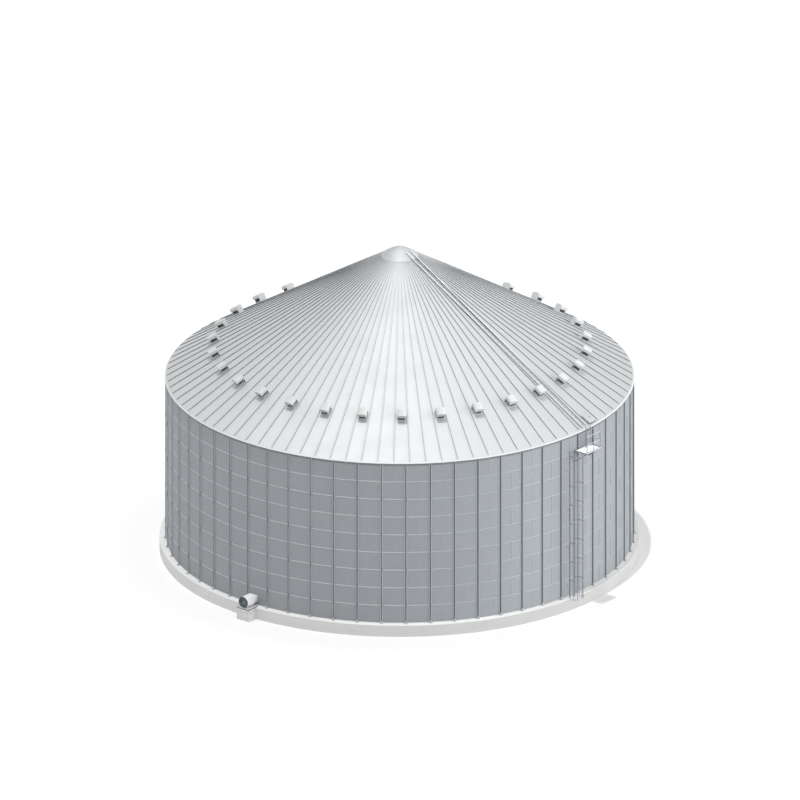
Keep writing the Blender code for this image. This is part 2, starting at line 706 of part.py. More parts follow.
def roof_hatch():
    """A curb on the panel beside the roof ladder, with its raised cover and handle."""
    panel = ROOF_LADDER_ANGLE + PANEL_ANGLE
    middle = HATCH_RUN * math.radians(HATCH_ANGLE - panel)
    half = HATCH_WIDTH / 2
    half_run = HATCH_LENGTH / 2 * math.cos(PANEL_TILT)
    wall_run = HATCH_WALL * math.cos(PANEL_TILT)
    across = [middle - half, middle - half + HATCH_WALL, middle + half - HATCH_WALL, middle + half]
    runs = [HATCH_RUN - half_run, HATCH_RUN - half_run + wall_run]
    runs += [HATCH_RUN + half_run - wall_run, HATCH_RUN + half_run]
    lifts = (GAP, HATCH_CURB)
    shape = bmesh.new()
    lattice(
        shape, across, runs, lambda i, j: i != 1 or j != 1,
        lambda u, run, face: on_roof(panel, run, u, lifts[face]),
    )
    finish("roof_hatch_curb", shape, ROOF_SHEET)

    wide = half + COVER_OVERHANG
    deep = half_run + COVER_OVERHANG
    low = HATCH_CURB + GAP
    top = low + COVER_THICKNESS
    loops = []
    for inset, lift in ((0.0, low), (0.0, low + COVER_SHOULDER), (COVER_BEVEL, top)):
        loops.append([
            on_roof(panel, HATCH_RUN + a * (deep - inset), middle + b * (wide - inset), lift)
            for a, b in SQUARE
        ])
    shape = bmesh.new()
    loft(shape, loops)
    cover = finish("roof_hatch_cover", shape, ROOF_SHEET)
    handle = bmesh.new()
    reach = HANDLE_LENGTH / 2
    bar = HANDLE_BAR / 2
    loops = []
    for side in (-bar, bar):
        path = (
            (-reach, top - bar), (-reach, top + HANDLE_RISE), (reach, top + HANDLE_RISE),
            (reach, top - bar), (reach - HANDLE_BAR, top - bar),
            (reach - HANDLE_BAR, top + HANDLE_RISE - HANDLE_BAR),
            (HANDLE_BAR - reach, top + HANDLE_RISE - HANDLE_BAR), (HANDLE_BAR - reach, top - bar),
        )
        loops.append([
            on_roof(panel, HATCH_RUN + along, middle + side, lift) for along, lift in path
        ])
    loft(handle, loops)
    join_solids(cover, finish("handle", handle, GALVANISED))


def fan_pad():
    """A concrete block cast against the raft under the fan."""
    half = PAD_HALF_WIDTH
    reach = math.degrees(half / RAFT_RADIUS)
    low = FAN_ANGLE - reach
    high = FAN_ANGLE + reach
    stops = [low, high]
    first = math.ceil((low - SEGMENT_START) / FACET)
    last = math.floor((high - SEGMENT_START) / FACET)
    stops[1:1] = [SEGMENT_START + FACET * step for step in range(first, last + 1)]
    inner = [polar(a, facet_face(RAFT_RADIUS, a) + GAP) for a in stops]
    outline = inner + [polar(FAN_ANGLE, PAD_FRONT, half), polar(FAN_ANGLE, PAD_FRONT, -half)]
    shape = bmesh.new()
    loft(shape, [[p + Vector((0, 0, z)) for p in outline] for z in (0.0, RAFT_TOP)])
    finish("fan_pad", shape, CONCRETE)


def fan_base():
    """A slatted frame on the pad with two saddles shaped to the fan's shell."""
    half = BASE_HALF_WIDTH
    step = (BASE_FRONT - BASE_BACK - BASE_BAR) / SLAT_COUNT
    runs = []
    for k in range(SLAT_COUNT + 1):
        runs += [BASE_BACK + k * step, BASE_BACK + k * step + BASE_BAR]
    across = [-half, -half + BASE_BAR, half - BASE_BAR, half]
    heights = (RAFT_TOP + GAP, RAFT_TOP + BASE_HEIGHT)
    shape = bmesh.new()
    lattice(
        shape, across, runs, lambda i, j: i != 1 or j % 2 == 0,
        lambda u, run, face: polar(FAN_ANGLE, run, u, heights[face]),
    )
    base = finish("fan_base", shape, PALE_SHEET)
    saddles = bmesh.new()
    radius = FAN_RADIUS + GAP
    turns = [math.pi + 2 * math.pi * k / FAN_SIDES for k in (-2, -1, 0, 1, 2)]
    for run in SADDLE_RUNS:
        loops = []
        for end in (run, run + SADDLE_THICKNESS):
            arc = [about_fan_axis(radius, turn, end) for turn in turns]
            foot = RAFT_TOP + BASE_HEIGHT / 2
            left = polar(FAN_ANGLE, end, -SADDLE_HALF_WIDTH, foot)
            right = polar(FAN_ANGLE, end, SADDLE_HALF_WIDTH, foot)
            loops.append(arc + [left, right])
        loft(saddles, loops)
    join_solids(base, finish("saddles", saddles, PALE_SHEET))


def fan():
    inner = FAN_RADIUS - FAN_SHELL
    shape = bmesh.new()
    ring = [(inner, FAN_FACE), (FAN_RADIUS, FAN_FACE), (FAN_RADIUS, FAN_BACK), (inner, FAN_BACK)]
    turned(shape, ring, FAN_SIDES, about_fan_axis)
    finish("fan_housing", shape, PALE_SHEET, rounded=True)

    shape = bmesh.new()
    half_spoke = math.radians(GUARD_SPOKE_ANGLE / 2)
    turns = []
    for k in range(GUARD_SPOKES):
        centre = 2 * math.pi * k / GUARD_SPOKES
        turns += [centre - half_spoke, centre + half_spoke, centre + math.pi / GUARD_SPOKES]
    turns.append(2 * math.pi - half_spoke)
    faces = (FAN_FACE + GAP, FAN_FACE + GAP + GUARD_THICKNESS)
    radii = [*GUARD_RINGS[:-1], GUARD_RINGS[-1] + FAN_SHELL]
    lattice(
        shape, turns, radii, lambda i, j: j % 2 == 1 or i % 3 == 0,
        lambda turn, radius, face: about_fan_axis(radius, turn, faces[face]), closed=True,
    )
    finish("fan_guard", shape, DARK_METAL)

    shape = bmesh.new()
    hub = [(0, ROTOR_FRONT), (HUB_RADIUS, ROTOR_FRONT), (HUB_RADIUS, ROTOR_FRONT - ROTOR_LENGTH)]
    hub.append((0, ROTOR_FRONT - ROTOR_LENGTH))
    turned(shape, hub, FAN_SIDES // 2, about_fan_axis)
    rotor = finish("fan_rotor", shape, DARK_METAL, rounded=True)
    blades = bmesh.new()
    middle = ROTOR_FRONT - ROTOR_LENGTH / 2
    for k in range(BLADE_COUNT):
        fan_blade(blades, 2 * math.pi * k / BLADE_COUNT, middle)
    join_solids(rotor, finish("blades", blades, DARK_METAL))

    front = ROTOR_FRONT - ROTOR_LENGTH - GAP
    back = front - MOTOR_LENGTH
    shape = bmesh.new()
    body = [(0, front), (MOTOR_RADIUS, front), (MOTOR_RADIUS, back), (0, back)]
    turned(shape, body, FAN_SIDES // 2, about_fan_axis)
    motor = finish("fan_motor", shape, DARK_METAL, rounded=True)
    arms = bmesh.new()
    reach = inner * math.cos(math.pi / FAN_SIDES) - GAP
    for k in range(MOTOR_ARMS):
        turn = 2 * math.pi * (k / MOTOR_ARMS + 0.5 / FAN_SIDES)
        loops = []
        middle = back + ARM_SETBACK + ARM_LENGTH / 2
        for radius in (ARM_ROOT, reach):
            loops.append([
                fan_arm_corner(turn, radius, a * ARM_WIDTH / 2, middle + b * ARM_LENGTH / 2)
                for a, b in SQUARE
            ])
        loft(arms, loops)
    join_solids(motor, finish("arms", arms, DARK_METAL))
    fan_transition()


def fan_arm_corner(turn, radius, side, run):
    """A corner of a bar that runs straight out from the fan's axis."""
    across = radius * math.sin(turn) + side * math.cos(turn)
    height = radius * math.cos(turn) - side * math.sin(turn)
    return polar(FAN_ANGLE, run, across, RAFT_TOP + FAN_AXIS_HEIGHT + height)


def fan_blade(shape, turn, middle):
    """A twisted flat blade from inside the hub to near the shell."""
    loops = []
    root = (BLADE_ROOT, BLADE_ROOT_CHORD, BLADE_TWIST)
    tip = (BLADE_TIP, BLADE_CHORD, BLADE_TWIST / 2)
    for radius, chord, twist in (root, tip):
        slant = math.radians(twist)
        loop = []
        for a, b in SQUARE:
            along = a * chord / 2
            proud = b * BLADE_THICKNESS / 2
            side = along * math.cos(slant) - proud * math.sin(slant)
            run = along * math.sin(slant) + proud * math.cos(slant)
            loop.append(fan_arm_corner(turn, radius, side, middle + run))
        loops.append(loop)
    loft(shape, loops)


def fan_transition():
    """The duct from the round shell to a rectangle against the wall."""
    half_wide = TRANSITION_WIDTH / 2
    half_high = TRANSITION_HEIGHT / 2
    wall_end = wall_clearance(FAN_ANGLE, -half_wide, half_wide)
    fan_end = FAN_BACK - GAP
    turns = [2 * math.pi * (k + 0.5) / FAN_SIDES for k in range(FAN_SIDES)]
    loops = [[about_fan_axis(TRANSITION_CIRCLE, turn, fan_end) for turn in turns]]
    square = []
    for turn in turns:
        reach = 1 / max(abs(math.sin(turn)) / half_wide, abs(math.cos(turn)) / half_high)
        square.append(about_fan_axis(reach, turn, wall_end))
    loops.append(square)
    shape = bmesh.new()
    loft(shape, loops)
    finish("fan_transition", shape, GALVANISED)


def build():
    for leftover in list(bpy.data.objects):
        bpy.data.objects.remove(leftover)
    raft()
    for number in range(SEGMENT_COUNT):
        wall_segment(number)
    for number in range(SEGMENT_COUNT):
        roof_segment(number)
    peak()
    wall_ladder()
    ladder_cage()
    platform()
    eave_ladder()
    roof_ladder()
    roof_hatch()
    fan_pad()
    fan_base()
    fan()


build()
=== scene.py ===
"""Dressed model of a grain silo: corrugated wall rings with outside stiffeners on a concrete raft,
a ribbed cone roof with hooded vents, a caged ladder with its platform, a roof hatch and a fan.

Metres, +Z up. Angles are degrees round the silo from -Y, growing towards +X. A run is a distance
from the silo's axis, an across is a sideways offset square to it, and a lift is a height square
to a roof panel.
"""
import math

import bmesh
import bpy
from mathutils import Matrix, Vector


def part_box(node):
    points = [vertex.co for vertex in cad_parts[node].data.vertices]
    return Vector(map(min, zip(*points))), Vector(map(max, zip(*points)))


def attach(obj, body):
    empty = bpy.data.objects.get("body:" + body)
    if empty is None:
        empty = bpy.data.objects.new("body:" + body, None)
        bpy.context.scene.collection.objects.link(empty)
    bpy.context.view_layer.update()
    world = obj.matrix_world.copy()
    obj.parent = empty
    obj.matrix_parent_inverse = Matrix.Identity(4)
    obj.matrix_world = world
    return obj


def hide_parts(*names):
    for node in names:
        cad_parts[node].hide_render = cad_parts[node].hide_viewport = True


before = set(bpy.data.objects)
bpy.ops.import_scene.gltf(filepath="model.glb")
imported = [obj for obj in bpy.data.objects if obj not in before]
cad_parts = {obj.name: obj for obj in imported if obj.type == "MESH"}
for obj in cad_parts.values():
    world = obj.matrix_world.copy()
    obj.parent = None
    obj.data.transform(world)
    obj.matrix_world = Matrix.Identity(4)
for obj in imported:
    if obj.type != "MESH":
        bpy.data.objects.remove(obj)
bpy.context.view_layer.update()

# Picture: eight hundred pixels square, seen from the front without perspective
PICTURE_PIXELS = 800
PIXELS_PER_METRE = 17.04
VIEW_DROP = 0.375
VIEW_AHEAD = 0.92702
VIEW_CENTRE = (0.0147, 0.0, 9.291)
VIEW_DISTANCE = 220.0
FLOOR_RADIUS = 600.0

# Raft and wall, as packed
GAP = 0.0003
RAFT_TOP = 0.71
RING_HEIGHT = 1.1176
RING_COUNT = 9
WALL_TOP = RAFT_TOP + RING_COUNT * RING_HEIGHT
WALL_FOOT = RAFT_TOP + GAP
SEGMENTS = 10
SEGMENT_START = 4.55
SEGMENT_ANGLE = 36.0
STIFFENER_OFFSETS = (3.0, 9.0, 15.0, 21.0, 27.0, 33.0)

# Raft details
RAFT_INSIDE_BOX = 0.0006
RAFT_STEP = 1.5
RAFT_CHAMFER = 0.012
RAFT_UNDER_WALL = 13.3
POUR_JOINT_ANGLE = 15.0
POUR_JOINT_FIRST = 6.0
POUR_JOINT_HALF = 0.04
POUR_JOINT_DEPTH = 0.008

# Corrugated sheets
CORRUGATIONS = 11
CORRUGATION = RING_HEIGHT / CORRUGATIONS
CORRUGATION_STEPS = 8
CORRUGATION_DEPTH = 0.0052
SHEET_MIDDLE = 13.7075
SHEET_INSIDE = 13.698
SHEET_STEP = 2.0
SEAM_PROUD = 0.010
SEAM_LIP = 0.013
SEAM_TAIL = 0.0255
LAP_WIDTH = 0.065
LAP_EDGE = 0.009
LAP_STEPS = 4
LAP_SECTION = ((-0.004, 0.0), (LAP_EDGE, 0.0), (LAP_EDGE, 0.012), (0.0015, LAP_WIDTH),
               (-0.004, LAP_WIDTH))
EVEN_RING_LAPS = (6.0, 18.0, 30.0)
ODD_RING_LAPS = (0.0, 12.0, 24.0)

# Stiffeners
FLANGE_HALF = 0.082
FLANGE_FACE = 13.7165
STIFFENER_BURY = 13.705
STIFFENER_CROWN = 13.775
CROWN_HALF = 0.022
WEB_FOOT_HALF = 0.045
SPLICE_GAP = 0.004
SPLICE_HALF = 0.15
LIT_SIDE = -0.1
SPLICE_PROUD = 0.0025
FOOT_PLATE = (0.085, 0.16, 0.012)
BOLT_RADIUS = 0.0105
BOLT_HEIGHT = 0.008
BOLT_BURY = 0.003
SEAM_BOLTS = 45
SEAM_BOLT_SINK = 0.0015
POST_CLEAR_ANGLE = 0.42
LAP_BOLT_ACROSS = 0.034
LAP_BOLT_PROUD = 0.0035
FLANGE_BOLT_EVERY = 3
FLANGE_BOLT_ACROSS = 0.071
ANCHOR_ACROSS = 0.05
FOOT_UPSTAND = 0.14

# Roof, as packed
ROOF_PITCH = 31.0
EAVE_RADIUS = 13.80
EAVE_LIP = 0.05
EAVE_TOP = WALL_TOP + GAP + EAVE_LIP
EAVE_SEAT_RUN = 13.60
PANEL_DEPTH = 0.03
HALF_PANEL = math.radians(2.0)
RIBS_A_SEGMENT = 9
RIB_SPACING = SEGMENT_ANGLE / RIBS_A_SEGMENT
EAVE_SCREW_RUN = 13.70
EAVE_SCREWS = (-0.24, 0.0, 0.24)
RIB_NOSE_RUN = 13.68
RIB_FADE_RUN = 2.9
EAVE_TRIM_WIDTH = 0.075
RIB_NOSE_SLOPE = 0.05
RIB_HEIGHT = 0.055
RIB_BASE_AT_EAVE = 0.07
RIB_BASE_AT_PEAK = 0.026
PEAK_RADIUS = 0.80
RAY_SLOPE = math.tan(math.radians(ROOF_PITCH))
PANEL_TILT = math.atan(RAY_SLOPE / math.cos(HALF_PANEL))
TILT_COS = math.cos(PANEL_TILT)
RIB_SECTION = ((-1.0, -0.1), (-0.97, 0.5), (-0.87, 0.9), (-0.55, 1.0), (0.55, 1.0), (0.87, 0.9),
               (0.97, 0.5), (1.0, -0.1))
SQUARE = ((-1, -1), (1, -1), (1, 1), (-1, 1))
UPWARD = Vector((0, 0, 1))

# Vents
VENT_OFFSETS = (8.0, 20.0, 32.0)
VENT_RUN = 10.86
HOOD_HALF = 0.27
HOOD_LENGTH = 0.53
HOOD_HEM = 0.27
THROAT_CHEEK = 0.10
HOOD_SPRING = 0.41
HOOD_CROWN = 0.50
HOOD_SHEET = 0.012
HOOD_STEPS = 12
THROAT_HALF = 0.21
THROAT_SINK = 0.01
THROAT_SILL = 0.045
THROAT_BAR = 0.012
MESH_FOOT = 0.04
FLASHING_HALF = 0.27
FLASHING_BOLT_INSET = 0.025

# Peak
CAP_RADIUS = 0.88
CAP_RIM = 0.09
CAP_RISE = 0.24
CAP_CLEARANCE = 0.10
CAP_SKIRT = 0.062
CAP_HEM = 0.008
CAP_CURVE = 1.6
CAP_BOLTS = 10
CAP_RINGS = 12
FLASHING_INNER = 0.82
FLASHING_BEND = 0.96
FLASHING_SHEET = 0.008
FLASHING_OUTER = 1.12
FLASHING_FOOT = 0.012
RAIL_HEAD_RUN = 0.60
COLLAR_SHEET = 0.04
PEAK_SIDES = 60

# Ladders and cage
LADDER_ANGLE = 46.4
LADDER_HALF = 0.20
LADDER_RUN = 13.973
LADDER_LENGTH = 9.25
RUNG_PITCH = 0.30
RUNG_RADIUS = 0.014
WALL_PAD = (13.708, 13.722)
STANDOFF_HEIGHT = 0.05
STANDOFF_LEVELS = (0.75, 3.15, 5.55, 7.95)
CAGE_RUN = 14.337
CAGE_RADIUS = 0.417
CAGE_BAR = 0.05
CAGE_SHEET = 0.008
CAGE_STRAPS = (-75.0, -37.5, 0.0, 37.5, 75.0)
CAGE_RODS = (-110.0, -56.25, -18.75, 18.75, 56.25, 110.0)
CAGE_RING_PITCH = 0.3
HOOP_LEVELS = (0.02, 1.22, 2.42, 3.62, 4.82, 6.02, 7.22, 9.10)
ROOF_LADDER_ANGLE = 52.55
ROOF_LADDER_FOOT = 13.60
ROOF_LADDER_HEAD = 1.0
EAVE_LADDER_RUN = 13.95
EAVE_LADDER_RISE = 0.30
EAVE_LADDER_FIRST_RUNG = 0.28

# Platform
PLATFORM_ANGLE = 51.25
PLATFORM_TOP = RAFT_TOP + 9.09
PLATFORM_HALF = 0.648
PLATFORM_INNER = 13.785
PLATFORM_OUTER = 14.62
PLATE_SHEET = 0.006
PLATE_FOLD = 0.03
TREAD_HEIGHT = 0.0015
TREAD_ROWS = 21
TREADS_A_ROW = 32
TREAD_MARGIN = 0.035
TREAD_ROW_PITCH = 0.038
TREAD_PITCH = 0.0381
TREAD_SLANT = 0.7
FRAME_DEPTH = 0.06
LEG_DROP = 0.62
POST_REACH = 0.03
RAIL_HEIGHT = 1.04
RAIL_RADIUS = 0.02

# Hatch
HATCH_PANEL = 56.55
HATCH_RUN = 13.33
HATCH_MIDDLE = HATCH_RUN * math.radians(-0.4)
HATCH_HALF_WIDTH = 0.32
HATCH_HALF_LENGTH = 0.30
HATCH_CURB = 0.08
CURB_WALL = 0.03
CURB_FLANGE = 0.03
LID_OVERHANG = 0.025
LID_THICKNESS = 0.035
HINGE_ACROSS = 0.2

# Fan
FAN_ANGLE = -38.6
FAN_AXIS = RAFT_TOP + 0.417
FAN_RADIUS = 0.351
FAN_FACE = 14.718
FAN_BACK = 14.04
PAD_HALF = 0.4525
PAD_FRONT = 14.771
BASE_HALF = 0.408
BASE_FRONT = 14.745
BASE_BACK = 13.914
BASE_HEIGHT = 0.045
SLATS = 5
SLAT_WIDTH = 0.13
SLAT_HALF = BASE_HALF - 0.055
SADDLE_RUNS = (14.10, 14.56)
SHELL_SIDES = 72
SHELL_BOLTS = 12
GUARD_RINGS = 12
GUARD_FIRST_RING = 0.06
GUARD_PITCH = 0.0252
GUARD_WIRE = 0.0028
GUARD_SPOKES = 6
ROTOR_FRONT = 14.60
HUB_RADIUS = 0.085
HUB_DEPTH = 0.11
BLADES = 6
BLADE_ROOT = 0.07
BLADE_TIP = 0.322
MOTOR_LENGTH = 0.34
MOTOR_FINS = 24
MOTOR_ARMS = 3
DUCT_ROUND = 0.335
DUCT_HALF_WIDE = 0.25
DUCT_HALF_HIGH = 0.19
DUCT_FLANGE = 0.02
DUCT_END = 13.7145


# Places on the silo

def polar(angle, run, across=0.0, height=0.0):
    turn = math.radians(angle)
    x = run * math.sin(turn) + across * math.cos(turn)
    y = -run * math.cos(turn) + across * math.sin(turn)
    return Vector((x, y, height))


def roof_height(radius):
    return EAVE_TOP + (EAVE_RADIUS - radius) * RAY_SLOPE


def on_roof(angle, run, across, lift):
    plane = roof_height(run / math.cos(HALF_PANEL))
    out = run + lift * math.sin(PANEL_TILT)
    return polar(angle, out, across, plane + lift * TILT_COS)


def roof_up(angle):
    """The direction square to a roof panel."""
    return (on_roof(angle, 1.0, 0, 1.0) - on_roof(angle, 1.0, 0, 0.0)).normalized()


def round_fan(radius, turn, run):
    across = radius * math.sin(turn)
    return polar(FAN_ANGLE, run, across, FAN_AXIS + radius * math.cos(turn))


def round_silo(radius, turn, height):
    return polar(SEGMENT_START + math.degrees(turn), radius, 0, height)


def even_turns(count, shift=0.0):
    """Even turns round an axis in radians, moved on by a share of a step."""
    return [2 * math.pi * (k + shift) / count for k in range(count)]


def span(side, near, far, middle=0.0):
    """From near to far on one side of a middle line, the lower value first."""
    return sorted((middle + side * near, middle + side * far))


# Making meshes

class Shape:
    """Points and faces of one piece; every part of it is a closed shell."""

    def __init__(self):
        self.points = []
        self.faces = []
        self.looks = []

    def face(self, corners, look):
        self.faces.append(corners)
        self.looks.append(look)

    def loft(self, loops, look=0, joined=False):
        """A shell through loops of equal length, capped, or joined end to start."""
        start = len(self.points)
        size = len(loops[0])
        for loop in loops:
            self.points += loop
        count = len(loops)
        for i in range(count if joined else count - 1):
            a = start + i * size
            b = start + (i + 1) % count * size
            for k in range(size):
                after = (k + 1) % size
                self.face((a + k, a + after, b + after, b + k), look)
        if not joined:
            self.face(tuple(range(start, start + size)), look)
            self.face(tuple(range(start + (count - 1) * size, start + count * size)), look)

    def block(self, angle, runs, acrosses, heights, look=0):
        ends = ((0, 0), (1, 0), (1, 1), (0, 1))
        self.loft([[polar(angle, runs[i], acrosses[j], z) for i, j in ends] for z in heights], look)

    def roof_block(self, angle, runs, acrosses, lifts, look=0):
        ends = ((0, 0), (1, 0), (1, 1), (0, 1))
        self.loft([[on_roof(angle, runs[i], acrosses[j], w) for i, j in ends] for w in lifts], look)

    def tube(self, path, radius, sides=8, look=0, joined=False):
        """A round bar along a path of points."""
        count = len(path)
        side = None
        loops = []
        for i, point in enumerate(path):
            before = path[i - 1] if joined or i else point
            after = path[(i + 1) % count] if joined or i < count - 1 else point
            along = (after - before).normalized()
            if side is None:
                side = along.orthogonal().normalized()
            side = (side - along * side.dot(along)).normalized()
            up = along.cross(side)
            ring = [math.cos(t) * side + math.sin(t) * up for t in even_turns(sides)]
            loops.append([point + radius * spoke for spoke in ring])
        self.loft(loops, look, joined)

    def bolt(self, seat, out, radius=BOLT_RADIUS, height=BOLT_HEIGHT, look=0):
        """A hexagon head on a surface."""
        side = out.orthogonal().normalized() * radius
        up = out.cross(side)
        ring = [math.cos(t) * side + math.sin(t) * up for t in even_turns(6)]
        low = seat - out * BOLT_BURY
        high = seat + out * height
        self.loft([[low + p for p in ring], [high + p for p in ring]], look)

    def turned(self, profile, sides, place, look=0, joined=True):
        """A ring turned from a closed profile of (radius, height) points."""
        self.loft([[place(r, t, z) for r, z in profile] for t in even_turns(sides)], look, joined)

    def domed(self, profile, sides, place, look=0):
        """A solid turned from a profile that starts and ends off the axis, capped by a face."""
        self.loft([[place(r, t, z) for t in even_turns(sides)] for r, z in profile], look)

    def column(self, angle, outline, heights, look=0):
        """An upright bar with an outline of (run, across) points."""
        self.loft([[polar(angle, r, u, z) for r, u in outline] for z in heights], look)

    def pair(self, angle, runs, near, far, heights, look=0):
        """A block on each side of the middle line."""
        for side in (-1, 1):
            self.block(angle, runs, span(side, near, far), heights, look)

    def rungs(self, place, half, first, last, sides=12, look=0):
        """Round bars across a ladder, from the first rise up to just under the last."""
        rise = first
        while rise < last:
            self.tube([place(-half, rise), place(half, rise)], RUNG_RADIUS, sides, look)
            rise += RUNG_PITCH


def bent(points, radius, steps=5):
    """A path through points with its corners rounded."""
    path = [points[0]]
    for before, corner, after in zip(points, points[1:], points[2:]):
        start = corner + (before - corner).normalized() * radius
        end = corner + (after - corner).normalized() * radius
        for k in range(steps + 1):
            share = k / steps
            path.append(start.lerp(corner, share).lerp(corner.lerp(end, share), share))
    path.append(points[-1])
    return path


def make_piece(name, shape, looks, replaced=(), sharp=35.0, bevel=0.0):
    """Turns a shape into a piece of the silo, which stands still."""
    mesh = bpy.data.meshes.new(name)
    mesh.from_pydata(shape.points, [], shape.faces)
    for look in looks:
        mesh.materials.append(look)
    mesh.polygons.foreach_set("material_index", shape.looks)
    loose = bmesh.new()
    loose.from_mesh(mesh)
    bmesh.ops.recalc_face_normals(loose, faces=loose.faces)
    loose.to_mesh(mesh)
    loose.free()
    mesh.shade_smooth()
    mesh.set_sharp_from_angle(angle=math.radians(sharp))
    piece = bpy.data.objects.new(name, mesh)
    bpy.context.scene.collection.objects.link(piece)
    if bevel:
        round_off = piece.modifiers.new("rounded edges", "BEVEL")
        round_off.width = bevel
        round_off.segments = 2
        round_off.limit_method = "ANGLE"
        round_off.angle_limit = math.radians(40.0)
    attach(piece, "root")
    if replaced:
        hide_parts(*replaced)
    return piece


# Shader wiring

def plug(tree, socket, value):
    if isinstance(value, bpy.types.NodeSocket):
        tree.links.new(value, socket)
    else:
        socket.default_value = value


def wire(tree, kind, inputs=None, **settings):
    made = tree.nodes.new("ShaderNode" + kind)
    for key, value in settings.items():
        setattr(made, key, value)
    for key, value in (inputs or {}).items():
        plug(tree, made.inputs[key], value)
    return made


def calc(tree, operation, *values, clamp=False):
    made = wire(tree, "Math", operation=operation, use_clamp=clamp)
    for socket, value in zip(made.inputs, values):
        plug(tree, socket, value)
    return made.outputs[0]


def blend(tree, mode, factor, below, above):
    made = wire(tree, "Mix", data_type="RGBA", blend_type=mode)
    plug(tree, made.inputs[0], factor)
    plug(tree, made.inputs[6], below)
    plug(tree, made.inputs[7], above)
    return made.outputs[2]


def fade(tree, value, start, end, low=0.0, high=1.0):
    made = wire(tree, "MapRange", {"Value": value, "From Min": start, "From Max": end,
                                   "To Min": low, "To Max": high}, interpolation_type="SMOOTHSTEP")
    return made.outputs[0]


def place_on_silo(tree):
    return wire(tree, "TexCoord").outputs["Object"]


def parts_of(tree, vector):
    """The X, Y and Z of a vector."""
    return wire(tree, "SeparateXYZ", {"Vector": vector}).outputs


def noise(tree, vector, scale, detail=3.0, roughness=0.55):
    made = wire(tree, "TexNoise", {"Vector": vector, "Scale": scale, "Detail": detail,
                                   "Roughness": roughness})
    return made.outputs[0]


def swing(tree, value, contrast):
    """A value between 0 and 1 as a tone about 1."""
    return calc(tree, "MULTIPLY_ADD", calc(tree, "SUBTRACT", value, 0.5), contrast, 1.0)


def effect(name, inputs, outputs):
    """A shader node group with named float sockets."""
    tree = bpy.data.node_groups.new(name, "ShaderNodeTree")
    for key, value in inputs.items():
        socket = tree.interface.new_socket(key, in_out="INPUT", socket_type="NodeSocketFloat")
        socket.default_value = value
    for key in outputs:
        tree.interface.new_socket(key, in_out="OUTPUT", socket_type="NodeSocketFloat")
    given = tree.nodes.new("NodeGroupInput").outputs
    result = tree.nodes.new("NodeGroupOutput").inputs
    return tree, given, result


def zinc_spangle():
    """Crystals of the zinc coat: flat cells of slightly different grey."""
    inputs = {"Size": 0.02, "Contrast": 0.1}
    tree, given, result = effect("zinc spangle", inputs, ("Tone", "Relief"))
    scale = calc(tree, "DIVIDE", 1.0, given["Size"])
    cells = wire(tree, "TexVoronoi", {"Vector": place_on_silo(tree), "Scale": scale})
    grey = wire(tree, "SeparateColor", {"Color": cells.outputs["Color"]})
    plug(tree, result["Tone"], swing(tree, grey.outputs[0], given["Contrast"]))
    plug(tree, result["Relief"], cells.outputs["Distance"])


def rain_streaks():
    """Long upright runs where rain has washed the sheets."""
    inputs = {"Width": 0.12, "Length": 1.5, "Contrast": 0.1}
    tree, given, result = effect("rain streaks", inputs, ("Tone", "Mask"))
    size = wire(tree, "CombineXYZ", {"X": given["Width"], "Y": given["Width"], "Z": given["Length"]})
    scaled = wire(tree, "VectorMath", operation="DIVIDE")
    plug(tree, scaled.inputs[0], place_on_silo(tree))
    plug(tree, scaled.inputs[1], size.outputs[0])
    run = noise(tree, scaled.outputs[0], 1.0, 4.0, 0.6)
    plug(tree, result["Tone"], swing(tree, run, given["Contrast"]))
    plug(tree, result["Mask"], fade(tree, run, 0.5, 0.72))


def sheet_lottery():
    """Each sheet's own tone, by its place round the silo and its ring."""
    inputs = {"Sheet Angle": 12.0, "First Angle": 10.55, "Row Height": RING_HEIGHT, "Contrast": 0.04}
    tree, given, result = effect("sheet lottery", inputs, ("Tone",))
    spot = parts_of(tree, place_on_silo(tree))
    back = calc(tree, "MULTIPLY", spot["Y"], -1.0)
    angle = calc(tree, "DEGREES", calc(tree, "ARCTAN2", spot["X"], back))
    rise = calc(tree, "SUBTRACT", spot["Z"], RAFT_TOP)
    row = calc(tree, "FLOOR", calc(tree, "DIVIDE", rise, given["Row Height"]))
    odd = calc(tree, "MODULO", row, 2.0)
    shift = calc(tree, "MULTIPLY", odd, calc(tree, "MULTIPLY", given["Sheet Angle"], 0.5))
    turned = calc(tree, "ADD", calc(tree, "SUBTRACT", angle, given["First Angle"]), shift)
    past = calc(tree, "MODULO", calc(tree, "ADD", turned, 720.0), 360.0)
    column = calc(tree, "FLOOR", calc(tree, "DIVIDE", past, given["Sheet Angle"]))
    spread = wire(tree, "CombineXYZ", {"X": column, "Y": row})
    draw = wire(tree, "TexWhiteNoise", {"Vector": spread.outputs[0]}, noise_dimensions="3D")
    plug(tree, result["Tone"], swing(tree, draw.outputs[0], given["Contrast"]))


def seam_band_and_painted_highlight():
    """The pale band along each joint between two rings: partly cleaner zinc, and partly a painted
    highlight of the seam ledges, strongest on the left (-X) side where the overhead lamp lights them.
    """
    tree, given, result = effect("ring seams", {"Half Height": 0.03}, ("Mask",))
    spot = parts_of(tree, place_on_silo(tree))
    rise = calc(tree, "SUBTRACT", spot["Z"], RAFT_TOP)
    away = calc(tree, "PINGPONG", rise, RING_HEIGHT / 2)
    near = calc(tree, "DIVIDE", away, given["Half Height"])
    band = fade(tree, near, 0.7, 1.1, 1.0, 0.0)
    # painted highlight: the band is full on the left (-X) side and fades to a fifth of it on the right
    side = fade(tree, spot["X"], -1.0, 5.0, 1.0, 0.2)
    plug(tree, result["Mask"], calc(tree, "MULTIPLY", band, side))


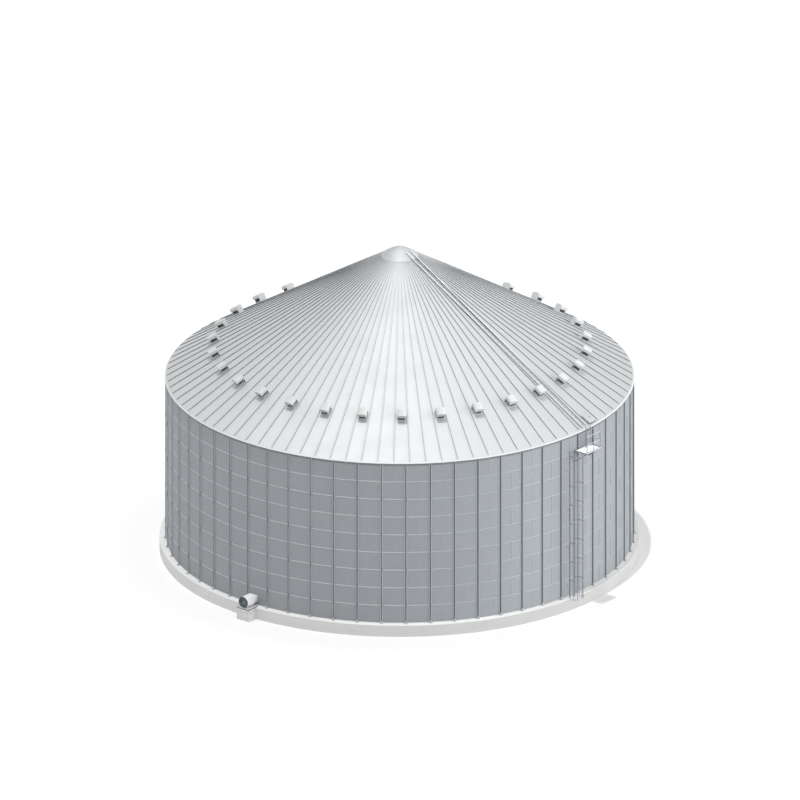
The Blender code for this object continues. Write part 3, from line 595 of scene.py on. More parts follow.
def eave_shade():
    """A painted shadow: the dark strip under the eave."""
    tree, given, result = effect("eave shade", {"Height": 0.12}, ("Mask",))
    spot = parts_of(tree, place_on_silo(tree))
    drop = calc(tree, "SUBTRACT", WALL_TOP, spot["Z"])
    share = calc(tree, "DIVIDE", drop, given["Height"])
    plug(tree, result["Mask"], fade(tree, share, 0.8, 1.1, 1.0, 0.0))


def rib_shade_fading_to_peak():
    """Where the ribs' painted shade fades to a paler tone towards the peak."""
    tree, given, result = effect("rib shade fading to peak", {"Foot": 3.6, "Head": 1.2}, ("Mask",))
    spot = parts_of(tree, place_on_silo(tree))
    flat = wire(tree, "CombineXYZ", {"X": spot["X"], "Y": spot["Y"]})
    run = wire(tree, "VectorMath", {"Vector": flat.outputs[0]}, operation="LENGTH").outputs["Value"]
    plug(tree, result["Mask"], fade(tree, run, given["Head"], given["Foot"], 1.0, 0.0))


def ground_splash():
    """Dirt thrown up by rain from the slab."""
    tree, given, result = effect("ground splash", {"Height": 0.5, "Amount": 1.0}, ("Mask",))
    place = place_on_silo(tree)
    spot = parts_of(tree, place)
    rise = calc(tree, "SUBTRACT", spot["Z"], RAFT_TOP)
    uneven = calc(tree, "MULTIPLY", noise(tree, place, 2.5), 2.0)
    height = calc(tree, "MULTIPLY", given["Height"], uneven)
    low = calc(tree, "SUBTRACT", 1.0, calc(tree, "DIVIDE", rise, height), clamp=True)
    flecks = fade(tree, noise(tree, place, 40.0, 4.0, 0.7), 0.35, 0.75)
    spots = calc(tree, "MULTIPLY", low, flecks)
    plug(tree, result["Mask"], calc(tree, "MULTIPLY", spots, given["Amount"]))


def settled_dust():
    """Dust on faces that look up."""
    inputs = {"Patch": 0.8, "Floor": 0.0, "Amount": 1.0}
    tree, given, result = effect("settled dust", inputs, ("Mask",))
    facing = parts_of(tree, wire(tree, "NewGeometry").outputs["Normal"])
    up = fade(tree, facing["Z"], 0.3, 0.95)
    scale = calc(tree, "DIVIDE", 1.0, given["Patch"])
    drift = noise(tree, place_on_silo(tree), scale, 5.0, 0.65)
    patches = fade(tree, drift, 0.4, 0.7, given["Floor"])
    lying = calc(tree, "MULTIPLY", up, patches)
    plug(tree, result["Mask"], calc(tree, "MULTIPLY", lying, given["Amount"]))


def cast_concrete():
    """Mottling, board lines and pores of cast concrete."""
    inputs = {"Mottle": 1.2, "Contrast": 0.1, "Board": 0.14}
    tree, given, result = effect("cast concrete", inputs, ("Tone", "Relief"))
    place = place_on_silo(tree)
    wide = noise(tree, place, calc(tree, "DIVIDE", 1.0, given["Mottle"]), 5.0, 0.65)
    fine = noise(tree, place, 28.0, 4.0, 0.7)
    spot = parts_of(tree, place)
    row = calc(tree, "FLOOR", calc(tree, "DIVIDE", spot["Z"], given["Board"]))
    lot = wire(tree, "TexWhiteNoise", {"W": row}, noise_dimensions="1D").outputs["Value"]
    mixed = calc(tree, "MULTIPLY_ADD", wide, 0.5, calc(tree, "MULTIPLY", fine, 0.25))
    mixed = calc(tree, "MULTIPLY_ADD", lot, 0.25, mixed)
    plug(tree, result["Tone"], swing(tree, mixed, given["Contrast"]))
    pores = wire(tree, "TexVoronoi", {"Vector": place, "Scale": 55.0})
    pits = fade(tree, pores.outputs["Distance"], 0.08, 0.22)
    board = calc(tree, "PINGPONG", spot["Z"], calc(tree, "MULTIPLY", given["Board"], 0.5))
    line = fade(tree, board, 0.0, 0.004)
    rough = calc(tree, "ADD", calc(tree, "MULTIPLY", pits, 0.6), calc(tree, "MULTIPLY", line, 0.4))
    plug(tree, result["Relief"], calc(tree, "ADD", rough, calc(tree, "MULTIPLY", fine, 0.5)))


def right_side_painted_shade():
    """Painted shade: concrete or sheet made darker towards the +X side of the silo, which the right
    hand lamp lights.
    """
    tree, given, result = effect("right side painted shade", {"Reach": 10.0}, ("Mask",))
    spot = parts_of(tree, place_on_silo(tree))
    across = calc(tree, "DIVIDE", spot["X"], given["Reach"])
    plug(tree, result["Mask"], fade(tree, across, -1.0, 1.0))


def sprayed_skin():
    """Orange peel and slight patchiness of sprayed paint or a dipped coat."""
    inputs = {"Peel": 0.004, "Contrast": 0.05}
    tree, given, result = effect("sprayed skin", inputs, ("Tone", "Relief"))
    place = place_on_silo(tree)
    peel = noise(tree, place, calc(tree, "DIVIDE", 1.0, given["Peel"]), 2.0, 0.5)
    patches = noise(tree, place, 3.0, 5.0, 0.6)
    plug(tree, result["Tone"], swing(tree, patches, given["Contrast"]))
    plug(tree, result["Relief"], peel)


def rubbed_edges():
    """Corners that stand proud, where a coat wears first."""
    tree, given, result = effect("rubbed edges", {"Amount": 1.0}, ("Mask",))
    proud = fade(tree, wire(tree, "NewGeometry").outputs["Pointiness"], 0.53, 0.62)
    chips = fade(tree, noise(tree, place_on_silo(tree), 35.0, 4.0, 0.7), 0.4, 0.6)
    worn = calc(tree, "MULTIPLY", proud, chips)
    plug(tree, result["Mask"], calc(tree, "MULTIPLY", worn, given["Amount"]))


def layer(kind, stain=None, share=1.0, relief=0.0, dulls=0.0, **values):
    """One effect in a finish: the stain it leaves, the depth it raises, and its own values."""
    return kind, stain, share, relief, dulls, values


def finish(name, colour, metallic, roughness, *layers):
    """A material: its layers' tones multiply the colour, then their stains cover it."""
    material = bpy.data.materials.new(name)
    material.use_nodes = True
    tree = material.node_tree
    shader = tree.nodes["Principled BSDF"]
    shader.inputs["Metallic"].default_value = metallic
    placed = []
    for kind, *changes, values in layers:
        settings = {key.replace("_", " "): value for key, value in values.items()}
        made = wire(tree, "Group", settings, node_tree=bpy.data.node_groups[kind])
        placed.append((made.outputs, *changes))
    shade = (*colour, 1.0)
    for given, *_ in placed:
        if "Tone" in given:
            shade = blend(tree, "MULTIPLY", 1.0, shade, given["Tone"])
    rough = roughness
    height = 0.0
    for given, stain, share, relief, dulls in placed:
        if stain:
            covered = calc(tree, "MULTIPLY", given["Mask"], share)
            shade = blend(tree, "MIX", covered, shade, (*stain, 1.0))
        if dulls:
            rough = calc(tree, "MULTIPLY_ADD", given["Mask"], dulls, rough)
        if relief:
            height = calc(tree, "MULTIPLY_ADD", given["Relief"], relief, height)
    plug(tree, shader.inputs["Base Color"], shade)
    plug(tree, shader.inputs["Roughness"], rough)
    if any(relief for _, _, _, relief, _ in placed):
        bump = wire(tree, "Bump", {"Strength": 0.8, "Distance": 1.0, "Height": height})
        plug(tree, shader.inputs["Normal"], bump.outputs[0])
    return material


def spangle(size, contrast, relief=0.0):
    return layer("zinc spangle", relief=relief, Size=size, Contrast=contrast)


def rain(width, length, contrast, **more):
    return layer("rain streaks", Width=width, Length=length, Contrast=contrast, **more)


def skin(peel, contrast, relief=0.0003):
    return layer("sprayed skin", relief=relief, Peel=peel, Contrast=contrast)


def dust(patch, amount, tint, share, dulls=0.0):
    return layer("settled dust", tint, share, dulls=dulls, Patch=patch, Amount=amount)


def rubbed(amount, tint, share):
    return layer("rubbed edges", tint, share, Amount=amount)


SPLASHED = layer("ground splash", (0.40, 0.38, 0.35), 0.5, Height=0.4, Amount=0.7)


def post_zinc(name, colour, metallic, roughness, crystals, runs, *more):
    """Zinc of the stiffeners: crystals, runs of rain and more layers over them."""
    return finish(name, colour, metallic, roughness, spangle(0.03, crystals, 0.0004),
                  rain(0.05, 0.8, runs, dulls=0.1), *more)


def bar_zinc(name, colour, metallic, roughness, worn):
    """Zinc of the ladders' and cage's bars, worn to a paler tone on its edges."""
    return finish(name, colour, metallic, roughness, spangle(0.015, 0.14), skin(0.01, 0.10, 0.0004),
                  rubbed(0.8, worn, 0.5))


for make_effect in (zinc_spangle, rain_streaks, sheet_lottery, seam_band_and_painted_highlight, eave_shade, rib_shade_fading_to_peak,
                    ground_splash, settled_dust, cast_concrete, right_side_painted_shade, sprayed_skin, rubbed_edges):
    make_effect()

WALL_SHEET = finish(
    "weathered corrugated sheet", (0.302, 0.322, 0.339), 0.35, 0.56,
    spangle(0.022, 0.10, 0.0003),
    rain(0.10, 1.6, 0.08, dulls=0.08),
    layer("sheet lottery", Contrast=0.03),
    # the pale seam band: cleaner zinc, with a painted highlight strongest on the left side
    layer("ring seams", (0.56, 0.58, 0.60), 0.75, Half_Height=0.030),
    layer("ground splash", (0.38, 0.36, 0.34), 0.5, dulls=0.2, Height=0.30, Amount=0.6),
    # painted shadow of the eave on the top of the wall
    layer("eave shade", (0.19, 0.20, 0.21), 0.8, Height=0.13),
)
LAP_SHEET = finish("sheet edge lap", (0.302, 0.322, 0.339), 0.35, 0.52,
                   spangle(0.022, 0.10, 0.0003), rain(0.08, 1.2, 0.12))
# mastic on the sheets' laps, and painted shade round and under the fan skid
MASTIC_AND_PAINTED_SHADE = finish("mastic and painted shade", (0.06, 0.063, 0.066), 0.0, 0.8, skin(0.006, 0.3, 0.001))
# painted shade: the stiffeners' left web, always dark
WEB_ZINC = post_zinc("shaded stiffener zinc", (0.125, 0.138, 0.157), 0.4, 0.5, 0.16, 0.25, SPLASHED)
FLANGE_ZINC = post_zinc("flange zinc", (0.355, 0.375, 0.395), 0.35, 0.45, 0.14, 0.15, SPLASHED)
CROWN_ZINC = post_zinc("stiffener crown zinc", (0.125, 0.14, 0.158), 0.38, 0.47, 0.16, 0.2, SPLASHED)
# painted light: a paler zinc for stiffener faces on the right-hand side of the silo
PAINTED_LIGHT_ZINC = post_zinc("stiffener zinc with painted light", (0.49, 0.51, 0.53), 0.35, 0.5, 0.14, 0.12)
BOLT_ZINC = finish("zinc bolts", (0.38, 0.39, 0.40), 0.5, 0.45,
                   skin(0.003, 0.5, 0.0004), rubbed(0.7, (0.6, 0.6, 0.6), 0.6))
ROOF_SHEET = finish(
    "bright roof sheet", (0.602, 0.618, 0.624), 0.6, 0.62,
    spangle(0.025, 0.05, 0.0002),
    layer("sheet lottery", Sheet_Angle=4.0, First_Angle=2.55, Row_Height=100.0, Contrast=0.03),
    # painted shade on the roof's right (+X) side, against the right hand lamp
    layer("right side painted shade", (0.53, 0.546, 0.552), 1.0, Reach=12.0),
    dust(1.5, 0.35, (0.56, 0.57, 0.565), 0.5, dulls=0.12),
)
# painted shade: the dark sheet for the ribs' flanks, the eave lip's face and the hatch's curb and lid
# sides
PAINTED_SHADE_SHEET = finish(
    "sheet in painted shade", (0.15, 0.165, 0.175), 0.4, 0.5,
    spangle(0.02, 0.12, 0.0002),
    skin(0.02, 0.15, 0.0),
    # the painted shade turns paler towards the peak
    layer("rib shade fading to peak", (0.42, 0.435, 0.44), 1.0, Foot=3.8, Head=1.2),
)
HOOD_SKIN = finish(
    "pale hood sheet", (0.575, 0.583, 0.583), 0.05, 0.75,
    skin(0.006, 0.06),
    dust(0.4, 0.4, (0.53, 0.527, 0.515), 0.4, dulls=0.15),
    rubbed(0.5, (0.47, 0.48, 0.49), 0.5),
)
END_SHEET = finish("hood end sheet", (0.52, 0.53, 0.535), 0.3, 0.55,
                   skin(0.006, 0.08), rain(0.03, 0.2, 0.12))
CAP_SHEET = finish("peak cap sheet", (0.52, 0.535, 0.54), 0.58, 0.58,
                   skin(0.006, 0.06), dust(0.5, 0.4, (0.46, 0.46, 0.45), 0.4, dulls=0.12))
# bird mesh, nearly black: painted shade of the open throat behind it
MESH_IN_PAINTED_SHADE = finish("bird mesh in painted shade", (0.06, 0.065, 0.07), 0.4, 0.6, spangle(0.008, 1.2, 0.002))
LADDER_ZINC = bar_zinc("ladder zinc", (0.56, 0.57, 0.62), 0.8, 0.42, (0.78, 0.78, 0.8))
CAGE_ZINC = bar_zinc("cage zinc", (0.26, 0.27, 0.315), 0.6, 0.45, (0.5, 0.5, 0.52))
HOOP_ZINC = bar_zinc("caged ladder zinc", (0.29, 0.30, 0.345), 0.6, 0.45, (0.55, 0.55, 0.58))
EAVE_TRIM = finish("pale eave trim", (0.60, 0.615, 0.62), 0.0, 0.85,
                   skin(0.01, 0.06), dust(0.4, 0.4, (0.55, 0.55, 0.54), 0.3))
# painted light: the pale tops and head rails of the roof ladder
PAINTED_LIGHT_RAIL = finish("roof rail in painted light", (0.75, 0.76, 0.77), 0.2, 0.5,
                   skin(0.01, 0.06), rubbed(0.6, (0.6, 0.61, 0.63), 0.5))
TREAD_PLATE = finish(
    "pale tread plate", (0.97, 0.97, 0.975), 0.1, 0.5,
    skin(0.005, 0.08),
    dust(0.3, 0.6, (0.80, 0.79, 0.77), 0.2, dulls=0.2),
    rubbed(0.8, (0.8, 0.8, 0.82), 0.5),
)
PALE_PAINT = finish(
    "pale fan paint", (0.82, 0.82, 0.835), 0.1, 0.42,
    skin(0.004, 0.05),
    layer("ground splash", (0.52, 0.48, 0.42), 0.5, dulls=0.25, Height=0.25, Amount=0.8),
    rubbed(0.8, (0.45, 0.46, 0.47), 0.6),
)
DARK_PAINT = finish(
    "dark green-grey paint", (0.19, 0.23, 0.225), 0.3, 0.5,
    skin(0.004, 0.2, 0.0004),
    dust(0.15, 0.8, (0.30, 0.29, 0.26), 0.4),
    rubbed(1.0, (0.35, 0.37, 0.37), 0.6),
)
RAFT_CONCRETE = finish(
    "cast raft concrete", (0.64, 0.64, 0.635), 0.0, 0.85,
    layer("cast concrete", relief=0.0015, Mottle=1.4, Contrast=0.12, Board=0.178),
    rain(0.25, 0.8, 0.08, stain=(0.45, 0.45, 0.43), share=0.18),
    # painted shade on the raft's right (+X) side, against the right hand lamp
    layer("right side painted shade", (0.42, 0.42, 0.415), 0.7, Reach=10.0),
    # paler up faces: settled dust, and painted light on the raft's top from above
    layer("settled dust", (0.82, 0.82, 0.815), 1.0, Patch=2.5, Floor=0.8, Amount=1.0),
)
PAD_CONCRETE = finish(
    "cast pad concrete", (0.62, 0.62, 0.61), 0.0, 0.88,
    layer("cast concrete", relief=0.002, Mottle=0.5, Contrast=0.4, Board=0.12),
    rain(0.12, 0.5, 0.14, stain=(0.45, 0.44, 0.42), share=0.25),
)
FLOOR_PAINT = finish("studio floor", (0.905, 0.905, 0.905), 0.0, 0.9, skin(0.05, 0.006, 0.0))


# Raft and wall

def raft():
    """The round slab with its pour joints, and the grout along the wall's foot."""
    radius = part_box("foundation")[1].x - RAFT_INSIDE_BOX
    columns = []
    for k in range(int(360 / RAFT_STEP)):
        columns.append((RAFT_STEP * k, 0.0))
    for k in range(int(360 / POUR_JOINT_ANGLE)):
        middle = POUR_JOINT_FIRST + POUR_JOINT_ANGLE * k
        columns = [c for c in columns if abs(c[0] - middle) > POUR_JOINT_HALF]
        columns += [(middle - POUR_JOINT_HALF, 0.0), (middle, POUR_JOINT_DEPTH)]
        columns.append((middle + POUR_JOINT_HALF, 0.0))
    columns.sort()
    loops = [[polar(a, radius - d, 0, 0.0) for a, d in columns]]
    loops.append([polar(a, radius - d, 0, RAFT_TOP - RAFT_CHAMFER) for a, d in columns])
    loops.append([polar(a, radius - RAFT_CHAMFER - d, 0, RAFT_TOP - d) for a, d in columns])
    loops.append([polar(a, RAFT_UNDER_WALL, 0, RAFT_TOP - d) for a, d in columns])
    loops.append([polar(a, RAFT_UNDER_WALL - 0.1, 0, RAFT_TOP) for a, d in columns])
    shape = Shape()
    shape.loft(loops)
    make_piece("raft", shape, [RAFT_CONCRETE], ["foundation"], sharp=25.0)
    bead = Shape()
    foot = SHEET_MIDDLE + CORRUGATION_DEPTH
    section = ((foot - 0.01, RAFT_TOP - 0.002), (foot + 0.022, RAFT_TOP - 0.002),
               (foot + 0.018, RAFT_TOP + 0.010), (foot + 0.004, RAFT_TOP + 0.024),
               (foot - 0.01, RAFT_TOP + 0.026))
    bead.turned(section, 240, round_silo)
    make_piece("wall_foot_grout", bead, [RAFT_CONCRETE])


def sheet_radius(rise):
    """The corrugated sheet's outside at a height above the raft, proud along each ring seam."""
    radius = SHEET_MIDDLE + CORRUGATION_DEPTH * math.cos(2 * math.pi * rise / CORRUGATION)
    ring = round(rise / RING_HEIGHT)
    above = rise - ring * RING_HEIGHT
    if 0 < ring < RING_COUNT and -SEAM_LIP < above < SEAM_TAIL:
        share = (above + SEAM_LIP) / (SEAM_LIP + SEAM_TAIL)
        radius = SHEET_MIDDLE + (CORRUGATION_DEPTH + SEAM_PROUD) * (1 - share)
    return radius


def wall_sheets(start, tag):
    """Corrugated shell of one segment, from the raft to the eave."""
    section = []
    for row in range(RING_COUNT * CORRUGATIONS * CORRUGATION_STEPS + 1):
        rise = row * CORRUGATION / CORRUGATION_STEPS
        section.append((sheet_radius(rise), max(WALL_FOOT, min(WALL_TOP, RAFT_TOP + rise))))
    section += [(SHEET_INSIDE, WALL_TOP), (SHEET_INSIDE, WALL_FOOT)]
    loops = []
    columns = int(SEGMENT_ANGLE / SHEET_STEP)
    nudge = math.degrees(GAP / 2 / SHEET_MIDDLE)
    for k in range(columns + 1):
        angle = start + SHEET_STEP * k + nudge * ((k == 0) - (k == columns))
        loops.append([polar(angle, r, 0, z) for r, z in section])
    shape = Shape()
    shape.loft(loops)
    segment = [f"wall_segment_{tag}"]
    make_piece(f"wall_sheets_{tag}", shape, [WALL_SHEET], segment, sharp=50.0)


def sheet_laps(start, tag):
    """Where one sheet's edge lies over the next, in turn from ring to ring."""
    shape = Shape()
    for ring in range(RING_COUNT):
        for offset in ODD_RING_LAPS if ring % 2 else EVEN_RING_LAPS:
            angle = start + offset
            loops = []
            for step in range(CORRUGATIONS * LAP_STEPS + 1):
                rise = ring * RING_HEIGHT + step * CORRUGATION / LAP_STEPS
                radius = SHEET_MIDDLE + CORRUGATION_DEPTH * math.cos(2 * math.pi * rise / CORRUGATION)
                height = RAFT_TOP + max(0.001, rise)
                loops.append([polar(angle, radius + out, u, height) for out, u in LAP_SECTION])
            first = len(shape.faces)
            shape.loft(loops)
            for row in range(len(loops) - 1):
                shape.looks[first + row * len(LAP_SECTION)] = 1
    make_piece(f"sheet_laps_{tag}", shape, [LAP_SHEET, MASTIC_AND_PAINTED_SHADE], sharp=50.0)


def stiffeners(start, tag):
    """Hat-shaped posts bolted to the crests, spliced at every second ring."""
    half = ((STIFFENER_BURY, FLANGE_HALF), (FLANGE_FACE, FLANGE_HALF), (FLANGE_FACE, WEB_FOOT_HALF),
            (STIFFENER_CROWN - 0.006, CROWN_HALF + 0.003), (STIFFENER_CROWN, CROWN_HALF - 0.003),
            (STIFFENER_CROWN, 0.010), (STIFFENER_CROWN - 0.007, 0.006))
    outline = [(run, -across) for run, across in half] + list(half[::-1])
    # painted shade on every stiffener's left web; on the right-hand side of the silo, painted light on
    # the left flange and the right web
    shaded_web = 2
    lit_faces = (0, 1, 10)
    crown = range(3, 10)
    cover = ((STIFFENER_CROWN - 0.03, 0.034), (STIFFENER_CROWN + SPLICE_PROUD - 0.006, 0.027),
             (STIFFENER_CROWN + SPLICE_PROUD, 0.023))
    splice = [(run, -across) for run, across in cover] + list(cover[::-1])
    shape = Shape()
    ends = [0, 1, 3, 5, 7, RING_COUNT]
    for offset in STIFFENER_OFFSETS:
        angle = start + offset
        edge_look = 3 if math.sin(math.radians(angle)) > LIT_SIDE else 1
        for low, high in zip(ends, ends[1:]):
            foot = RAFT_TOP + low * RING_HEIGHT + SPLICE_GAP
            head = RAFT_TOP + high * RING_HEIGHT
            first = len(shape.faces)
            shape.column(angle, outline, (foot, head), 1)
            shape.looks[first + shaded_web] = 0
            for k in lit_faces:
                shape.looks[first + k] = edge_look
            for k in crown:
                shape.looks[first + k] = 2
            if low:
                shape.column(angle, splice, (foot - SPLICE_HALF, foot + SPLICE_HALF), 2)
    looks = [WEB_ZINC, FLANGE_ZINC, CROWN_ZINC, PAINTED_LIGHT_ZINC]
    make_piece(f"stiffeners_{tag}", shape, looks, sharp=30.0)


def wall_bolts(start, tag):
    """Bolts along the ring seams, the sheets' laps and the stiffeners' flanges."""
    shape = Shape()
    crest = SHEET_MIDDLE + CORRUGATION_DEPTH
    posts = [start + offset for offset in STIFFENER_OFFSETS]
    for ring in range(1, RING_COUNT):
        for k in range(SEAM_BOLTS):
            angle = start + SEGMENT_ANGLE * (k + 0.5) / SEAM_BOLTS
            if min(abs(angle - post) for post in posts) > POST_CLEAR_ANGLE:
                seat = sheet_radius(ring * RING_HEIGHT) - SEAM_BOLT_SINK
                place = polar(angle, seat, 0, RAFT_TOP + ring * RING_HEIGHT)
                shape.bolt(place, polar(angle, 1.0))
    for ring in range(RING_COUNT):
        for offset in ODD_RING_LAPS if ring % 2 else EVEN_RING_LAPS:
            angle = start + offset
            out = polar(angle, 1.0)
            for k in range(CORRUGATIONS - 1):
                height = RAFT_TOP + ring * RING_HEIGHT + (k + 1) * CORRUGATION
                seat = polar(angle, crest + LAP_BOLT_PROUD, LAP_BOLT_ACROSS, height)
                shape.bolt(seat, out)
    for post in posts:
        out = polar(post, 1.0)
        for k in range(1, RING_COUNT * CORRUGATIONS // FLANGE_BOLT_EVERY):
            height = RAFT_TOP + k * FLANGE_BOLT_EVERY * CORRUGATION
            for across in (-FLANGE_BOLT_ACROSS, FLANGE_BOLT_ACROSS):
                shape.bolt(polar(post, FLANGE_FACE, across, height), out)
    make_piece(f"wall_bolts_{tag}", shape, [BOLT_ZINC])


def stiffener_feet():
    """The plate and two anchors that hold each stiffener to the raft."""
    shape = Shape()
    bolts = Shape()
    depth, width, thick = FOOT_PLATE
    face = STIFFENER_CROWN - 0.002
    for k in range(SEGMENTS * len(STIFFENER_OFFSETS)):
        angle = SEGMENT_START + STIFFENER_OFFSETS[0] + SEGMENT_ANGLE * k / len(STIFFENER_OFFSETS)
        runs = (STIFFENER_CROWN - 0.005, STIFFENER_CROWN + depth)
        shape.block(angle, runs, (-width / 2, width / 2), (RAFT_TOP - 0.001, RAFT_TOP + thick))
        edges = (-ANCHOR_ACROSS, ANCHOR_ACROSS)
        shape.block(angle, (face, face + 0.010), edges, (RAFT_TOP, RAFT_TOP + FOOT_UPSTAND))
        for across in edges:
            seat = polar(angle, STIFFENER_CROWN + depth * 0.55, across, RAFT_TOP + thick)
            bolts.bolt(seat, UPWARD, 0.018, 0.03)
    make_piece("stiffener_feet", shape, [LADDER_ZINC], bevel=0.002)
    make_piece("anchor_bolts", bolts, [BOLT_ZINC])


# Roof

def roof_panels(start, tag):
    """The panels and ribs of one segment, the trim along their eave and its screws."""
    rib_angles = [start + RIB_SPACING * (k + 0.5) for k in range(RIBS_A_SEGMENT)]
    flat = math.cos(HALF_PANEL)
    shape = Shape()

    def sweep(section, look):
        loops = [[polar(start, r * flat, GAP / 2, z) for r, z in section]]
        loops += [[polar(angle, r, 0, z) for r, z in section] for angle in rib_angles]
        loops.append([polar(start + SEGMENT_ANGLE, r * flat, -GAP / 2, z) for r, z in section])
        shape.loft(loops, look)

    section = (
        (EAVE_RADIUS, EAVE_TOP), (EAVE_RADIUS, WALL_TOP + GAP), (EAVE_SEAT_RUN, WALL_TOP + GAP),
        (EAVE_SEAT_RUN, roof_height(EAVE_SEAT_RUN) - PANEL_DEPTH),
        (PEAK_RADIUS, roof_height(PEAK_RADIUS) - PANEL_DEPTH), (PEAK_RADIUS, roof_height(PEAK_RADIUS)),
    )
    sweep(section, 0)
    # the eave lip's upright face takes the sheet in painted shade, a dark line under the eave edge
    for k in range(RIBS_A_SEGMENT + 1):
        shape.looks[k * len(section)] = 1
    for angle in rib_angles:
        roof_rib(shape, angle)
    inner = EAVE_RADIUS - EAVE_TRIM_WIDTH
    sweep(((inner, roof_height(inner) - 0.004), (inner, roof_height(inner) + 0.003),
           (EAVE_RADIUS - 0.002, EAVE_TOP + 0.004), (EAVE_RADIUS - 0.002, EAVE_TOP - 0.004)), 2)
    looks = [ROOF_SHEET, PAINTED_SHADE_SHEET, EAVE_TRIM]
    make_piece(f"roof_panels_{tag}", shape, looks, [f"roof_segment_{tag}"], sharp=28.0)
    screws = Shape()
    for angle in rib_angles[:-1]:
        between = angle + RIB_SPACING / 2
        for across in EAVE_SCREWS:
            screws.bolt(on_roof(between, EAVE_SCREW_RUN, across, 0.0), roof_up(between))
    make_piece(f"eave_screws_{tag}", screws, [BOLT_ZINC])


def rib_share(run):
    """How far a run is from the ribs' noses to the peak, from 0 to 1."""
    nose = RIB_NOSE_RUN - RIB_NOSE_SLOPE
    return (nose - run) / (nose - PEAK_RADIUS)


def roof_rib(shape, angle):
    """A rib that gets lower near the peak; its flanks carry painted shade, which turns paler near the
    peak.
    """
    stations = (
        (RIB_NOSE_RUN, 0.0, 0.03), (RIB_NOSE_RUN - 0.4 * RIB_NOSE_SLOPE, 0.0, 0.5),
        (RIB_NOSE_RUN - RIB_NOSE_SLOPE, 0.0, 1.0), (RIB_FADE_RUN, rib_share(RIB_FADE_RUN), 1.0),
        (PEAK_RADIUS, 1.0, 0.6),
    )
    loops = []
    for radius, share, rise in stations:
        half = (RIB_BASE_AT_EAVE + (RIB_BASE_AT_PEAK - RIB_BASE_AT_EAVE) * share) / 2
        foot = roof_height(radius)
        loop = []
        for side, height in RIB_SECTION:
            run = radius - abs(side) * half * math.tan(HALF_PANEL)
            loop.append(polar(angle, run, side * half, foot + RIB_HEIGHT * (height * rise)))
        loops.append(loop)
    first = len(shape.faces)
    shape.loft(loops)
    for row in range(len(loops) - 1):
        # the rib's flank faces take the sheet in painted shade
        for k in (0, 1, 5, 6):
            shape.looks[first + row * len(RIB_SECTION) + k] = 1


def arch(half, spring, crown, low):
    """A barrel section as (across, lift) points, from one foot to the other."""
    points = [(half, low)]
    for k in range(HOOD_STEPS + 1):
        turn = math.pi * k / HOOD_STEPS
        points.append((half * math.cos(turn), spring + (crown - spring) * math.sin(turn)))
    points.append((-half, low))
    return points


def vent(shape, angle):
    """A meshed throat under a barrel hood that is open below and closed on its uphill side."""
    reach = HOOD_LENGTH / 2 * TILT_COS
    outer = arch(HOOD_HALF, HOOD_SPRING, HOOD_CROWN, HOOD_HEM)
    inner = arch(HOOD_HALF - HOOD_SHEET, HOOD_SPRING, HOOD_CROWN - HOOD_SHEET, HOOD_HEM)
    shell = outer + inner[::-1]
    shape.loft([[on_roof(angle, VENT_RUN + side * reach, u, w) for u, w in shell] for side in (-1, 1)])
    for side, hem, look in ((-1, -0.004, 0), (1, HOOD_HEM + 0.004, 4)):
        plate = arch(HOOD_HALF - 0.006, HOOD_SPRING, HOOD_CROWN - 0.006, hem)
        runs = (VENT_RUN + side * (reach - 0.008), VENT_RUN + side * (reach + 0.001))
        shape.loft([[on_roof(angle, run, u, w) for u, w in plate] for run in runs], look)
    throat = THROAT_HALF * TILT_COS
    runs = (VENT_RUN - throat, VENT_RUN + throat)
    shape.roof_block(angle, runs, (-THROAT_HALF, THROAT_HALF), (-THROAT_SINK, THROAT_SILL), 1)
    for side in (-1, 1):
        edges = span(side, THROAT_HALF + 0.002, THROAT_HALF - THROAT_BAR)
        shape.roof_block(angle, runs, edges, (-THROAT_SINK, THROAT_CHEEK))
    mesh_half = THROAT_HALF - 0.006
    runs = (VENT_RUN - throat + 0.005, VENT_RUN + throat - 0.005)
    # a solid, nearly black mesh block: bird mesh with the painted shade of the throat behind it
    shape.roof_block(angle, runs, (-mesh_half, mesh_half), (MESH_FOOT, HOOD_SPRING), 2)
    for across in (-THROAT_HALF + THROAT_BAR, THROAT_HALF - THROAT_BAR):
        for run in (VENT_RUN - throat + 0.011, VENT_RUN + throat - 0.011):
            edges = (across - THROAT_BAR, across + THROAT_BAR)
            shape.roof_block(angle, (run - 0.011, run + 0.011), edges, (MESH_FOOT, HOOD_SPRING), 1)
    collar = FLASHING_HALF * TILT_COS
    ring = (VENT_RUN - collar, VENT_RUN + collar)
    shape.roof_block(angle, ring, (-FLASHING_HALF, FLASHING_HALF), (-0.004, 0.005))
    up = roof_up(angle)
    for a in (-1, 0, 1):
        for b in (-1, 0, 1):
            if a or b:
                across = b * (FLASHING_HALF - FLASHING_BOLT_INSET)
                run = VENT_RUN + a * (collar - FLASHING_BOLT_INSET)
                shape.bolt(on_roof(angle, run, across, 0.005), up, look=3)


def vents(start, tag):
    """The three hooded vents of one roof segment."""
    shape = Shape()
    for offset in VENT_OFFSETS:
        vent(shape, start + offset)
    looks = [HOOD_SKIN, ROOF_SHEET, MESH_IN_PAINTED_SHADE, BOLT_ZINC, END_SHEET]
    make_piece(f"roof_vents_{tag}", shape, looks, sharp=30.0)


